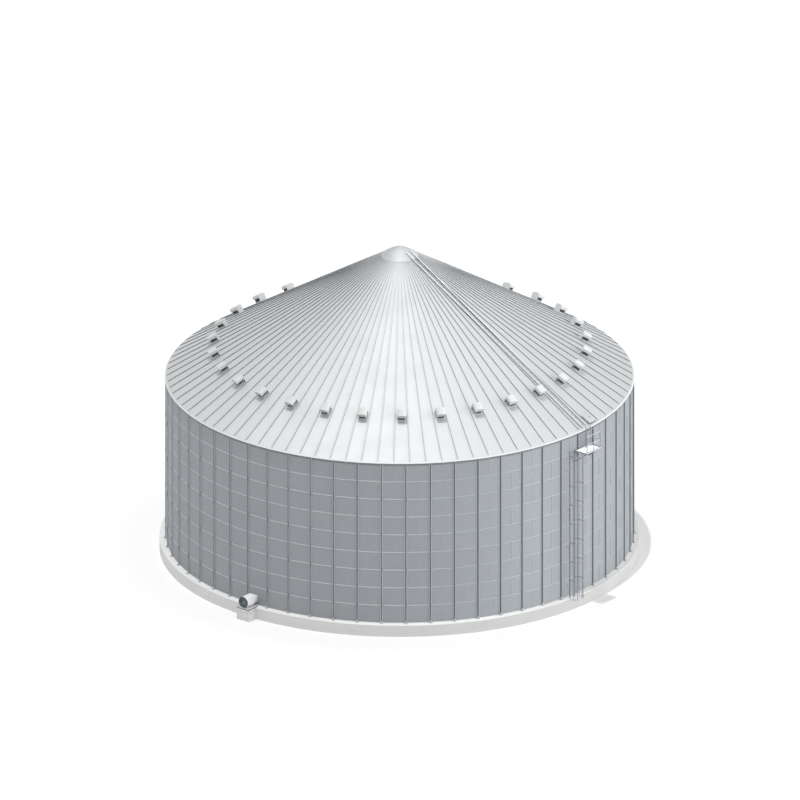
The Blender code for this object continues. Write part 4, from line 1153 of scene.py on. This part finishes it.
def peak():
    """The collar round the panels' inner ends, and the domed cap over it."""
    outer = PEAK_RADIUS * math.cos(HALF_PANEL) - GAP
    inner = outer - COLLAR_SHEET
    foot = roof_height(PEAK_RADIUS) - PANEL_DEPTH - COLLAR_SHEET
    rim_foot = roof_height(CAP_RADIUS) + CAP_SKIRT
    seat = rim_foot + 0.04
    shape = Shape()
    ring = ((inner, foot), (outer, foot), (outer, seat - 0.02), (outer - 0.006, seat - GAP),
            (inner, seat - GAP))
    shape.turned(ring, PEAK_SIDES, round_silo)
    make_piece("roof_collar", shape, [LADDER_ZINC], ["peak_collar"])
    shape = Shape()
    top = CAP_SKIRT + 0.002
    upper = ((FLASHING_OUTER, FLASHING_FOOT), (FLASHING_BEND, top), (FLASHING_INNER, top))
    lower = [(radius, lift - FLASHING_SHEET) for radius, lift in upper[::-1]]
    sheet = [(radius, roof_height(radius) + lift) for radius, lift in (*lower, *upper)]
    shape.turned(sheet, PEAK_SIDES, round_silo)
    make_piece("peak_flashing", shape, [CAP_SHEET])
    rim_top = rim_foot + CAP_HEM
    rise = CAP_CLEARANCE + CAP_RIM + CAP_RISE - CAP_SKIRT - CAP_HEM
    profile = [(0.02, seat), (CAP_RADIUS - 0.09, seat), (CAP_RADIUS - 0.02, rim_foot),
               (CAP_RADIUS - 0.003, rim_foot), (CAP_RADIUS, rim_foot + 0.004),
               (CAP_RADIUS - 0.003, rim_top)]
    for k in range(1, CAP_RINGS + 1):
        share = 1 - k / (CAP_RINGS + 0.3)
        profile.append((CAP_RADIUS * share, rim_top + rise * (1 - share ** CAP_CURVE)))
    shape = Shape()
    shape.domed(profile, PEAK_SIDES, round_silo)
    share = 1 - 0.05 / CAP_RADIUS
    for turn in even_turns(CAP_BOLTS, 0.5):
        seat = round_silo(CAP_RADIUS * share, turn, rim_top + rise * (1 - share ** CAP_CURVE))
        shape.bolt(seat, UPWARD, look=1)
    make_piece("roof_cap", shape, [CAP_SHEET, BOLT_ZINC], ["peak_cap"], sharp=30.0)


# Ladders, cage and platform

def wall_ladder():
    """Channel stringers with round rungs, on bolted stand-offs."""
    shape = Shape()
    top = WALL_FOOT + LADDER_LENGTH - GAP
    for side in (-1, 1):
        section = ((-0.03, 0.010), (-0.03, -0.010), (-0.024, -0.010), (-0.024, 0.004), (0.024, 0.004),
                   (0.024, -0.010), (0.03, -0.010), (0.03, 0.010))
        outline = [(LADDER_RUN + run, side * (LADDER_HALF + across)) for run, across in section]
        shape.column(LADDER_ANGLE, outline, (WALL_FOOT, top))
        for level in STANDOFF_LEVELS:
            low = RAFT_TOP + level
            heights = (low, low + STANDOFF_HEIGHT)
            edges = span(side, LADDER_HALF + 0.002, LADDER_HALF - 0.005)
            shape.block(LADDER_ANGLE, (13.712, LADDER_RUN - 0.026), edges, heights, 2)
            edges = span(side, LADDER_HALF + 0.002, LADDER_HALF + 0.05)
            shape.block(LADDER_ANGLE, WALL_PAD, edges, heights, 2)
            across = side * (LADDER_HALF + 0.03)
            seat = polar(LADDER_ANGLE, WALL_PAD[1], across, low + STANDOFF_HEIGHT / 2)
            shape.bolt(seat, polar(LADDER_ANGLE, 1.0), look=1)
        edges = span(side, LADDER_HALF + 0.002, LADDER_HALF + 0.055)
        shape.block(LADDER_ANGLE, (LADDER_RUN - 0.03, LADDER_RUN + 0.03), edges,
                    (RAFT_TOP - 0.001, RAFT_TOP + 0.008))
        seat = polar(LADDER_ANGLE, LADDER_RUN, side * (LADDER_HALF + 0.035), RAFT_TOP + 0.008)
        shape.bolt(seat, UPWARD, 0.013, 0.015, look=1)
    shape.rungs(lambda across, rise: polar(LADDER_ANGLE, LADDER_RUN, across, rise),
                LADDER_HALF, WALL_FOOT + RUNG_PITCH, top - 0.03)
    looks = [HOOP_ZINC, BOLT_ZINC, LADDER_ZINC]
    piece = make_piece("caged_ladder", shape, looks, ["wall_ladder"], bevel=0.0012)
    piece.visible_shadow = False


def cage_point(turn, radius, height):
    """A point round the cage's own axis, by its turn in degrees from the side away from the wall."""
    across = radius * math.sin(math.radians(turn))
    run = CAGE_RUN + radius * math.cos(math.radians(turn))
    return polar(LADDER_ANGLE, run, across, height)


def cage():
    """Flat hoops from stringer to stringer with upright straps bolted inside them."""
    shape = Shape()
    inner = CAGE_RADIUS - CAGE_SHEET / 2
    outer = inner + CAGE_SHEET
    last = 180 - math.degrees(math.asin((LADDER_HALF + 0.0103) / inner))
    for level in HOOP_LEVELS:
        low = RAFT_TOP + level
        loops = []
        for k in range(37):
            turn = -last + 2 * last * k / 36
            corners = ((inner, low), (outer, low), (outer, low + CAGE_BAR), (inner, low + CAGE_BAR))
            loops.append([cage_point(turn, radius, z) for radius, z in corners])
        shape.loft(loops, 2 if level == HOOP_LEVELS[0] else 0)
        runs = (LADDER_RUN - 0.024, LADDER_RUN + 0.024)
        shape.pair(LADDER_ANGLE, runs, LADDER_HALF + 0.0105, LADDER_HALF + 0.0165,
                   (low, low + CAGE_BAR))
    half = math.degrees(CAGE_BAR / 2 / CAGE_RADIUS)
    heights = (RAFT_TOP + HOOP_LEVELS[0], RAFT_TOP + HOOP_LEVELS[-1] + CAGE_BAR)
    for centre in CAGE_STRAPS:
        corners = [(t, r) for t in (-half, 0, half) for r in (inner - 0.005, inner + 0.0005)]
        ring = [corners[i] for i in (0, 2, 4, 5, 3, 1)]
        shape.loft([[cage_point(centre + t, r, z) for t, r in ring] for z in heights])
        for level in HOOP_LEVELS:
            seat = cage_point(centre, outer, RAFT_TOP + level + CAGE_BAR / 2)
            out = (seat - cage_point(centre, 0, RAFT_TOP + level + CAGE_BAR / 2)).normalized()
            shape.bolt(seat, out, 0.009, 0.006, look=1)
    level = HOOP_LEVELS[0]
    while level < HOOP_LEVELS[-1] - CAGE_RING_PITCH / 2:
        level += CAGE_RING_PITCH
        turns = [last * (k / 15 - 1) for k in range(31)]
        shape.tube([cage_point(t, inner - 0.004, RAFT_TOP + level) for t in turns], 0.006, 6)
    for turn in CAGE_RODS:
        shape.tube([cage_point(turn, inner - 0.004, z) for z in heights], 0.007, 6)
    looks = [HOOP_ZINC, BOLT_ZINC, LADDER_ZINC]
    piece = make_piece("safety_cage", shape, looks, ["ladder_cage"], bevel=0.001)
    piece.visible_shadow = False


def platform():
    """Folded tread plate with raised bars."""
    angle = PLATFORM_ANGLE
    shape = Shape()
    top = PLATFORM_TOP - TREAD_HEIGHT
    ends = (PLATFORM_INNER, PLATFORM_OUTER)
    whole = (-PLATFORM_HALF, PLATFORM_HALF)
    shape.block(angle, ends, whole, (top - PLATE_SHEET, top))
    heights = (PLATFORM_TOP - PLATE_FOLD, top - PLATE_SHEET / 2)
    for runs in ((PLATFORM_INNER, PLATFORM_INNER + PLATE_SHEET),
                 (PLATFORM_OUTER - PLATE_SHEET, PLATFORM_OUTER)):
        shape.block(angle, runs, whole, heights)
    shape.pair(angle, ends, PLATFORM_HALF, PLATFORM_HALF - PLATE_SHEET, heights)
    for across in (-0.3, 0.0, 0.3):
        shape.block(angle, ends, (across - PLATE_SHEET / 2, across + PLATE_SHEET / 2), heights)
    treads = Shape()
    for i in range(TREAD_ROWS):
        for j in range(TREADS_A_ROW):
            run = PLATFORM_INNER + TREAD_MARGIN + TREAD_ROW_PITCH * i
            across = -PLATFORM_HALF + TREAD_MARGIN + TREAD_PITCH * j
            slant = TREAD_SLANT if (i + j) % 2 else -TREAD_SLANT
            loop = []
            for along, wide in ((-0.014, 0), (0, -0.003), (0.014, 0), (0, 0.003)):
                r = along * math.cos(slant) - wide * math.sin(slant)
                u = along * math.sin(slant) + wide * math.cos(slant)
                loop.append(polar(angle, run + r, across + u, 0))
            treads.loft([[p + Vector((0, 0, z)) for p in loop] for z in (top - 0.001, PLATFORM_TOP)])
    make_piece("platform_plate", shape, [TREAD_PLATE], ["eave_platform"], bevel=0.0012)
    make_piece("platform_treads", treads, [TREAD_PLATE])


def brackets():
    """The bar frame under the plate, its legs on the wall and its knee braces."""
    angle = PLATFORM_ANGLE
    half = PLATFORM_HALF - 0.025
    head = PLATFORM_TOP - PLATE_FOLD - GAP
    foot = head - FRAME_DEPTH
    leg_foot = foot - LEG_DROP
    shape = Shape()
    back = (PLATFORM_INNER, PLATFORM_INNER + 0.05)
    front = (PLATFORM_OUTER - 0.075, PLATFORM_OUTER - 0.025)
    for runs in (back, front):
        shape.block(angle, runs, (-half, half), (head - 0.006, head))
        face = runs[0] if runs is back else runs[1] - 0.006
        shape.block(angle, (face, face + 0.006), (-half, half), (foot, head - 0.003))
    for side in (-1, 1):
        edges = span(side, half, half - 0.05)
        shape.block(angle, (back[0], front[1]), edges, (head - 0.006, head - 0.0005))
        web = span(side, half, half - 0.006)
        shape.block(angle, (back[0], front[1]), web, (foot, head - 0.003))
        leg = span(side, half - 0.006, half - 0.044)
        shape.block(angle, (back[0] + 0.0125, back[1] - 0.0125), leg, (leg_foot, head - 0.005))
        brace = span(side, half - 0.0125, half - 0.0375)
        inner = back[0] + 0.025
        outer = front[0] + 0.0125
        corners = ((inner, leg_foot + 0.0125), (inner, leg_foot + 0.1), (outer - 0.05, foot + 0.01),
                   (outer, foot + 0.01))
        shape.loft([[polar(angle, r, u, z) for r, z in corners] for u in brace])
        for run in (outer - 0.04, outer - 0.08):
            seat = polar(angle, run, side * half, foot + 0.03)
            shape.bolt(seat, polar(angle, 0.0, float(side)), look=1)
        pad = span(side, half + 0.006, half - 0.056)
        for z in (leg_foot + 0.0125, foot - 0.1):
            wall = 13.7135 if side > 0 else 13.69
            shape.block(angle, (wall, back[0] + 0.025), leg, (z, z + 0.05))
            shape.block(angle, (back[0] + 0.004, back[0] + 0.013), pad, (z - 0.02, z + 0.07))
    make_piece("platform_frame", shape, [CAGE_ZINC, BOLT_ZINC], ["platform_brackets"],
               bevel=0.0012)


def rails():
    """Tube posts and rails with a toe plate, along the outer edge and the far side."""
    angle = PLATFORM_ANGLE
    half = PLATFORM_HALF - 0.01 - RAIL_RADIUS
    outer = PLATFORM_OUTER - 0.01 - RAIL_RADIUS
    inner = PLATFORM_INNER + 0.05
    foot = PLATFORM_TOP + GAP
    shape = Shape()
    for level in (0.50, RAIL_HEIGHT - RAIL_RADIUS):
        corners = [polar(angle, outer, -half, foot + level), polar(angle, outer, half, foot + level),
                   polar(angle, inner, half, foot + level)]
        shape.tube(bent(corners, 0.07), RAIL_RADIUS, 12, 1)
    posts = ((outer, -half), (outer, 0.0), (outer, half), (inner, half))
    for run, across in posts:
        ends = [polar(angle, run, across, foot + z) for z in (-0.001, RAIL_HEIGHT - RAIL_RADIUS)]
        shape.tube(ends, RAIL_RADIUS, 12)
        runs = (run - POST_REACH, run + POST_REACH)
        edges = (across - POST_REACH, across + POST_REACH)
        shape.block(angle, runs, edges, (foot - 0.001, foot + 0.006))
    toe = ((outer + 0.012, -half), (outer + 0.018, -half), (outer + 0.018, half + 0.018),
           (inner, half + 0.018), (inner, half + 0.012), (outer + 0.012, half + 0.012))
    shape.column(angle, toe, (foot, foot + 0.04))
    looks = [CAGE_ZINC, LADDER_ZINC]
    make_piece("platform_railing", shape, looks, ["platform_rails"], bevel=0.001)


def eave_ladder():
    """The short ladder from the platform to the roof."""
    shape = Shape()
    foot = PLATFORM_TOP + GAP
    head = WALL_TOP + EAVE_LADDER_RISE
    runs = (EAVE_LADDER_RUN - 0.04, EAVE_LADDER_RUN)
    shape.pair(ROOF_LADDER_ANGLE, runs, 0.22, 0.18, (foot, head))
    runs = (runs[0] - 0.02, runs[1] + 0.02)
    shape.pair(ROOF_LADDER_ANGLE, runs, 0.25, 0.17, (foot - 0.001, foot + 0.008))
    shape.rungs(lambda across, rise: polar(ROOF_LADDER_ANGLE, EAVE_LADDER_RUN - 0.02, across, rise),
                LADDER_HALF, foot + EAVE_LADDER_FIRST_RUNG, head - 0.03)
    make_piece("step_over_ladder", shape, [CAGE_ZINC], ["eave_ladder"], bevel=0.004)


def roof_ladder():
    """Stringers and rungs on the ribs' crowns."""
    shape = Shape()
    low = RIB_HEIGHT * TILT_COS + GAP
    high = low + 0.05
    for side in (-1, 1):
        edges = span(side, 0.225, 0.165)
        first = len(shape.faces)
        shape.roof_block(ROOF_LADDER_ANGLE, (ROOF_LADDER_HEAD, ROOF_LADDER_FOOT), edges, (low, high))
        # painted shade: the stringers' four sides take the darker caged ladder zinc
        for k in range(4):
            shape.looks[first + k] = 1
        shape.roof_block(ROOF_LADDER_ANGLE, (RAIL_HEAD_RUN, ROOF_LADDER_HEAD + 0.01), edges,
                         (low + 0.04, high + 0.04))
    length = (ROOF_LADDER_FOOT - ROOF_LADDER_HEAD) / TILT_COS

    def place(across, rise):
        return on_roof(ROOF_LADDER_ANGLE, ROOF_LADDER_FOOT - rise * TILT_COS, across, low + 0.03)

    shape.rungs(place, LADDER_HALF, RUNG_PITCH / 2, length - 0.05, 10, 2)
    looks = [PAINTED_LIGHT_RAIL, HOOP_ZINC, CAGE_ZINC]
    make_piece("roof_access_ladder", shape, looks, ["roof_ladder"], bevel=0.003)


def curb_frame(shape, outer, inner, lifts):
    """Four strips round the hatch between two (half length, half width) pairs."""
    for side in (-1, 1):
        runs = (HATCH_RUN - outer[0], HATCH_RUN + outer[0])
        edges = span(side, outer[1], inner[1], HATCH_MIDDLE)
        shape.roof_block(HATCH_PANEL, runs, edges, lifts)
        edges = (HATCH_MIDDLE - inner[1], HATCH_MIDDLE + inner[1])
        shape.roof_block(HATCH_PANEL, span(side, outer[0], inner[0], HATCH_RUN), edges, lifts)


def hatch():
    """A flanged curb with a folded lid, two hinges, a hasp and a rod handle."""
    panel = HATCH_PANEL
    middle = HATCH_MIDDLE
    length = HATCH_HALF_LENGTH * TILT_COS
    curb = Shape()
    edge = (length, HATCH_HALF_WIDTH)
    curb_frame(curb, edge, (length - CURB_WALL * TILT_COS, HATCH_HALF_WIDTH - CURB_WALL),
               (GAP, HATCH_CURB))
    curb_frame(curb, (length + CURB_FLANGE, HATCH_HALF_WIDTH + CURB_FLANGE), edge, (-0.002, 0.005))
    # the curb is all in painted shade
    make_piece("hatch_curb", curb, [PAINTED_SHADE_SHEET], ["roof_hatch_curb"], bevel=0.0015)
    lid = Shape()
    low = HATCH_CURB + GAP
    top = low + LID_THICKNESS
    wide = HATCH_HALF_WIDTH + LID_OVERHANG
    deep = length + LID_OVERHANG
    levels = ((0.005, low), (0.005, low - 0.02), (0.0, low - 0.02), (0.0, low + 0.022),
              (0.004, low + 0.027), (0.05, top))
    loops = []
    for inset, lift in levels:
        loops.append([
            on_roof(panel, HATCH_RUN + a * (deep - inset), middle + b * (wide - inset), lift)
            for a, b in SQUARE
        ])
    lid.loft(loops)
    # the lid's folded outer sides are in painted shade
    outer_side = 2 * len(SQUARE)
    for k in range(outer_side, outer_side + len(SQUARE)):
        lid.looks[k] = 2
    rod = [on_roof(panel, HATCH_RUN + along, middle, lift) for along, lift in (
        (-0.07, top - 0.008), (-0.07, top + 0.042), (0.07, top + 0.042), (0.07, top - 0.008))]
    lid.tube(bent(rod, 0.02), 0.011, 8, 3)
    for across in (-HINGE_ACROSS, HINGE_ACROSS):
        edges = (middle + across - 0.03, middle + across + 0.03)
        lid.roof_block(panel, (HATCH_RUN - deep - 0.03, HATCH_RUN - deep + 0.08), edges,
                       (low + 0.02, low + 0.034), 1)
        ends = [on_roof(panel, HATCH_RUN - deep - 0.012, middle + across + u, low + 0.02)
                for u in (-0.03, 0.03)]
        lid.tube(ends, 0.01, 10, 1)
    edges = (middle - 0.025, middle + 0.025)
    lid.roof_block(panel, (HATCH_RUN + deep - 0.004, HATCH_RUN + deep + 0.006), edges,
                   (low - 0.05, low + 0.02), 1)
    looks = [ROOF_SHEET, LADDER_ZINC, PAINTED_SHADE_SHEET, DARK_PAINT]
    make_piece("hatch_lid", lid, looks, ["roof_hatch_cover"], bevel=0.0015)


# Fan

def pad():
    """The concrete block cast against the raft, with its free edges chamfered."""
    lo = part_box("fan_pad")[0]
    raft_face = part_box("foundation")[1].x
    reach = math.degrees(PAD_HALF / raft_face)
    inner = [polar(FAN_ANGLE - reach + 2 * reach * k / 4, raft_face + 0.0005) for k in range(5)]
    loops = []
    for inset, height in ((0.0, lo.z), (0.0, RAFT_TOP - 0.02), (0.02, RAFT_TOP)):
        ends = [polar(FAN_ANGLE, PAD_FRONT - inset, PAD_HALF - inset),
                polar(FAN_ANGLE, PAD_FRONT - inset, -PAD_HALF + inset)]
        loops.append([p + Vector((0, 0, height)) for p in inner + ends])
    shape = Shape()
    shape.loft(loops)
    make_piece("fan_pad_block", shape, [PAD_CONCRETE], ["fan_pad"], sharp=25.0, bevel=0.004)


def base():
    """A slatted frame with two saddles under the fan, a dark plate of painted shade under its slats,
    and a dark strip of painted shadow round it.
    """
    shape = Shape()
    low = RAFT_TOP + GAP
    high = RAFT_TOP + BASE_HEIGHT
    shape.pair(FAN_ANGLE, (BASE_BACK, BASE_FRONT), BASE_HALF, BASE_HALF - 0.06, (low, high))
    step = (BASE_FRONT - BASE_BACK - SLAT_WIDTH) / (SLATS - 1)
    for k in range(SLATS):
        runs = (BASE_BACK + k * step, BASE_BACK + k * step + SLAT_WIDTH)
        # the slats take the whiter tread plate: painted light that keeps them pale in the fan's shadow
        shape.block(FAN_ANGLE, runs, (-SLAT_HALF, SLAT_HALF), (low, high - 0.004), 3)
    radius = FAN_RADIUS - 0.009
    turns = [math.pi + math.radians(7.5 * k) for k in range(-4, 5)]
    for run in SADDLE_RUNS:
        loops = []
        for end in (run, run + 0.05):
            arc = [round_fan(radius, turn, end) for turn in turns]
            feet = [polar(FAN_ANGLE, end, side * 0.2, RAFT_TOP + 0.022) for side in (-1, 1)]
            loops.append(arc + feet)
        shape.loft(loops)
    for a in (BASE_BACK + 0.03, BASE_FRONT - 0.03):
        for b in (-BASE_HALF + 0.03, BASE_HALF - 0.03):
            shape.bolt(polar(FAN_ANGLE, a, b, high), UPWARD, 0.014, 0.014, look=1)
    runs = (BASE_BACK + 0.01, BASE_FRONT - 0.01)
    # a dark plate under the slats: painted shade in the gaps between them
    shape.block(FAN_ANGLE, runs, (-SLAT_HALF, SLAT_HALF), (low, low + 0.006), 2)
    looks = [PALE_PAINT, BOLT_ZINC, MASTIC_AND_PAINTED_SHADE, TREAD_PLATE]
    make_piece("fan_skid", shape, looks, ["fan_base"], bevel=0.003)
    # a dark strip round the skid's foot: painted shadow in the gap under its frame
    strip = Shape()
    edge = BASE_HALF + 0.03
    front = BASE_FRONT + 0.02
    heights = (RAFT_TOP - 0.001, RAFT_TOP + 0.040)
    strip.pair(FAN_ANGLE, (BASE_BACK, front), edge, BASE_HALF - 0.001, heights)
    strip.block(FAN_ANGLE, (BASE_FRONT - 0.001, front), (-BASE_HALF, BASE_HALF), heights)
    make_piece("fan_skid_shade_strip", strip, [MASTIC_AND_PAINTED_SHADE])


def fan_shell():
    """The round shell with its rolled rim, bolts, side plate, and a dark liner that is painted shade
    inside its mouth.
    """
    shape = Shape()
    body = FAN_RADIUS - 0.008
    inner = body - 0.006
    profile = (
        (inner, FAN_BACK), (FAN_RADIUS, FAN_BACK), (FAN_RADIUS, FAN_BACK + 0.006),
        (body, FAN_BACK + 0.008), (body, FAN_FACE - 0.05), (body + 0.002, FAN_FACE - 0.02),
        (FAN_RADIUS - 0.001, FAN_FACE - 0.006), (FAN_RADIUS, FAN_FACE - 0.002),
        (FAN_RADIUS - 0.003, FAN_FACE), (FAN_RADIUS - 0.008, FAN_FACE - 0.004),
        (inner + 0.002, FAN_FACE - 0.03), (inner, FAN_FACE - 0.055),
    )
    shape.turned(profile, SHELL_SIDES, round_fan)
    for turn in even_turns(SHELL_BOLTS, 0.5):
        out = round_fan(1, turn, 0) - round_fan(0, turn, 0)
        shape.bolt(round_fan(body, turn, FAN_BACK + 0.16), out, look=1)
        shape.bolt(round_fan(body, turn, FAN_FACE - 0.14), out, look=1)
    plate = ((body - 0.001, 52), (body + 0.004, 52), (body + 0.004, 58), (body - 0.001, 58))
    runs = (FAN_BACK + 0.02, FAN_FACE - 0.06)
    shape.loft([[round_fan(r, math.radians(a), run) for r, a in plate] for run in runs])
    # painted shade: a dark liner inside the shell's mouth
    liner = ((inner - 0.003, FAN_FACE - 0.30), (inner + 0.0005, FAN_FACE - 0.30),
             (inner + 0.0005, FAN_FACE - 0.02), (inner - 0.003, FAN_FACE - 0.02))
    shape.turned(liner, SHELL_SIDES, round_fan, 2)
    looks = [PALE_PAINT, BOLT_ZINC, DARK_PAINT]
    make_piece("fan_shell", shape, looks, ["fan_housing"], sharp=40.0)


def fan_guard():
    """Wire rings and spokes before the shell's mouth, with a plate in their middle."""
    shape = Shape()
    plane = FAN_FACE + 0.006
    for k in range(GUARD_RINGS):
        ring = [round_fan(GUARD_FIRST_RING + GUARD_PITCH * k, turn, plane) for turn in even_turns(48)]
        shape.tube(ring, GUARD_WIRE, 6, joined=True)
    edge = [round_fan(FAN_RADIUS - 0.004, turn, plane) for turn in even_turns(60)]
    shape.tube(edge, 0.0045, 8, joined=True)
    for turn in even_turns(GUARD_SPOKES):
        ends = [round_fan(radius, turn, plane + 0.003) for radius in (0.05, FAN_RADIUS - 0.003)]
        shape.tube(ends, 0.004, 8)
    disc = ((0.012, plane - 0.002), (0.062, plane - 0.002), (0.062, plane + 0.0025),
            (0.012, plane + 0.0045))
    shape.domed(disc, 24, round_fan)
    make_piece("fan_guard_wires", shape, [DARK_PAINT], ["fan_guard"])


def fan_rotor():
    """The hub and its blades behind the guard."""
    shape = Shape()
    back = ROTOR_FRONT - HUB_DEPTH
    hub = ((0.02, ROTOR_FRONT), (0.06, ROTOR_FRONT - 0.008), (0.08, ROTOR_FRONT - 0.03),
           (HUB_RADIUS, ROTOR_FRONT - 0.06), (HUB_RADIUS, back), (0.02, back))
    shape.domed(hub, 32, round_fan)
    for turn in even_turns(BLADES):
        fan_blade(shape, turn)
    make_piece("fan_impeller", shape, [DARK_PAINT], ["fan_rotor"], sharp=30.0)


def fan_blade(shape, turn):
    """A cambered blade that untwists towards its tip."""
    loops = []
    middle = ROTOR_FRONT - 0.055
    for step in range(6):
        share = step / 5
        radius = BLADE_ROOT + (BLADE_TIP - BLADE_ROOT) * share
        chord = 0.085 + 0.045 * share
        slant = math.radians(38.0 - 19.0 * share)
        loop = []
        for face in (1, -1):
            for k in range(7):
                along = (k / 6 - 0.5) * face
                camber = 0.012 * (1 - 4 * along * along) + 0.002 * face * (1 - 3.6 * along * along)
                side = along * chord * math.cos(slant) - camber * math.sin(slant)
                run = along * chord * math.sin(slant) + camber * math.cos(slant)
                across = radius * math.sin(turn) + side * math.cos(turn)
                height = radius * math.cos(turn) - side * math.sin(turn)
                loop.append(polar(FAN_ANGLE, middle + run, across, FAN_AXIS + height))
        loops.append(loop)
    shape.loft(loops)


def motor():
    """A finned barrel behind the rotor, on three arms from the shell."""
    shape = Shape()
    front = ROTOR_FRONT - HUB_DEPTH - GAP
    back = front - MOTOR_LENGTH
    profile = ((0.03, front), (0.085, front), (0.1, front - 0.03), (0.1, back + 0.04), (0.085, back),
               (0.03, back))
    shape.domed(profile, 32, round_fan)
    wide = math.radians(1.6)
    fin = ((0.097, -wide), (0.11, -wide), (0.11, wide), (0.097, wide))
    runs = (front - 0.05, back + 0.06)
    for turn in even_turns(MOTOR_FINS):
        shape.loft([[round_fan(r, turn + t, run) for r, t in fin] for run in runs])
    reach = FAN_RADIUS - 0.0142
    middle = back + 0.13
    for turn in even_turns(MOTOR_ARMS, 0.5 * MOTOR_ARMS / MOTOR_FINS):
        loops = []
        for radius in (0.088, reach):
            loop = []
            for a, b in SQUARE:
                across = radius * math.sin(turn) + a * 0.025 * math.cos(turn)
                height = radius * math.cos(turn) - a * 0.025 * math.sin(turn)
                loop.append(polar(FAN_ANGLE, middle + b * 0.03, across, FAN_AXIS + height))
            loops.append(loop)
        shape.loft(loops)
    make_piece("fan_drive", shape, [DARK_PAINT], ["fan_motor"], sharp=30.0, bevel=0.0015)


def transition():
    """The sheet duct from the round shell to its rectangle on the wall."""
    loops = []
    for share in (0.0, 0.05, 0.35, 0.65, 0.93, 1.0):
        loop = []
        for turn in even_turns(48, 0.5):
            square = 1 / max(abs(math.sin(turn)) / DUCT_HALF_WIDE, abs(math.cos(turn)) / DUCT_HALF_HIGH)
            radius = DUCT_ROUND + (square - DUCT_ROUND) * max(0.0, min(1.0, (share - 0.05) / 0.88))
            loop.append(round_fan(radius, turn, FAN_BACK - GAP + (DUCT_END - FAN_BACK) * share))
        loops.append(loop)
    shape = Shape()
    shape.loft(loops)
    high = DUCT_HALF_HIGH + DUCT_FLANGE
    shape.pair(FAN_ANGLE, WALL_PAD, DUCT_HALF_WIDE, DUCT_HALF_WIDE + DUCT_FLANGE,
               (FAN_AXIS - high, FAN_AXIS + high))
    for side in (-1, 1):
        heights = span(side, DUCT_HALF_HIGH, high, FAN_AXIS)
        shape.block(FAN_ANGLE, WALL_PAD, (-DUCT_HALF_WIDE, DUCT_HALF_WIDE), heights)
    make_piece("fan_duct", shape, [PALE_PAINT], ["fan_transition"], sharp=40.0)


# Floor, light and camera

def floor():
    """The studio floor, which isn't part of the silo."""
    shape = Shape()
    shape.loft([[round_silo(FLOOR_RADIUS, t, z) for t in even_turns(96)] for z in (-0.05, -0.002)])
    mesh = bpy.data.meshes.new("studio_floor")
    mesh.from_pydata(shape.points, [], shape.faces)
    mesh.materials.append(FLOOR_PAINT)
    piece = bpy.data.objects.new("studio_floor", mesh)
    bpy.context.scene.collection.objects.link(piece)


def lamp(name, towards, strength, spread):
    light = bpy.data.lights.new(name, "SUN")
    light.energy = strength
    light.angle = math.radians(spread)
    piece = bpy.data.objects.new(name, light)
    piece.rotation_euler = Vector(towards).to_track_quat("-Z", "Y").to_euler()
    bpy.context.scene.collection.objects.link(piece)
    return piece


def studio():
    """A pale dome that is brightest overhead, a small overhead lamp and a soft one from the right."""
    world = bpy.data.worlds.new("studio dome")
    bpy.context.scene.world = world
    world.use_nodes = True
    tree = world.node_tree
    tree.nodes.clear()
    way = wire(tree, "TexCoord").outputs["Generated"]
    rise = wire(tree, "SeparateXYZ", {"Vector": way}).outputs["Z"]
    ramp = wire(tree, "ValToRGB", {"Fac": rise})
    levels = ((0.0, 0.50, 1.01), (0.17, 0.56, 1.01), (0.5, 0.71, 1.01), (0.75, 0.90, 1.01),
              (0.92, 1.15, 1.0), (1.0, 1.3, 1.0))
    stops = ramp.color_ramp.elements
    for place, _, _ in levels[1:-1]:
        stops.new(place)
    for stop, (_, value, blue) in zip(stops, levels):
        stop.color = (value, value, value * blue, 1.0)
    dome = wire(tree, "Background", {"Color": ramp.outputs[0]})
    seen = wire(tree, "Background", {"Color": (1.0, 1.0, 1.0, 1.0), "Strength": 1.0})
    mixed = wire(tree, "MixShader")
    plug(tree, mixed.inputs[0], wire(tree, "LightPath").outputs["Is Camera Ray"])
    plug(tree, mixed.inputs[1], dome.outputs[0])
    plug(tree, mixed.inputs[2], seen.outputs[0])
    wire(tree, "OutputWorld", {"Surface": mixed.outputs[0]})
    lamp("overhead lamp", (0.088, 0.072, -1.0), 1.15, 1.0)
    side = lamp("right hand lamp", (-0.977, 0.2, -0.04), 3.75, 60.0)
    unlit = bpy.data.collections.new("unlit by the right hand lamp")
    unlit.objects.link(bpy.data.objects["studio_floor"])
    unlit.collection_objects[0].light_linking.link_state = "EXCLUDE"
    side.light_linking.receiver_collection = unlit


def camera():
    """The photo's view, without perspective."""
    lens = bpy.data.cameras.new("camera")
    lens.type = "ORTHO"
    lens.ortho_scale = PICTURE_PIXELS / PIXELS_PER_METRE
    lens.clip_end = 1000.0
    ahead = Vector((0.0, VIEW_AHEAD, -VIEW_DROP))
    piece = bpy.data.objects.new("camera", lens)
    piece.location = Vector(VIEW_CENTRE) - ahead * VIEW_DISTANCE
    piece.rotation_euler = ahead.to_track_quat("-Z", "Y").to_euler()
    bpy.context.scene.collection.objects.link(piece)
    bpy.context.scene.camera = piece
    bpy.context.scene.view_settings.view_transform = "Standard"


raft()
for segment in range(SEGMENTS):
    for build in (wall_sheets, sheet_laps, stiffeners, wall_bolts, roof_panels, vents):
        build(SEGMENT_START + SEGMENT_ANGLE * segment, f"{segment + 1:02d}")
for build in (stiffener_feet, peak, wall_ladder, cage, platform, brackets, rails, eave_ladder,
              roof_ladder, hatch, pad, base, fan_shell, fan_guard, fan_rotor, motor, transition,
              floor, studio, camera):
    build()
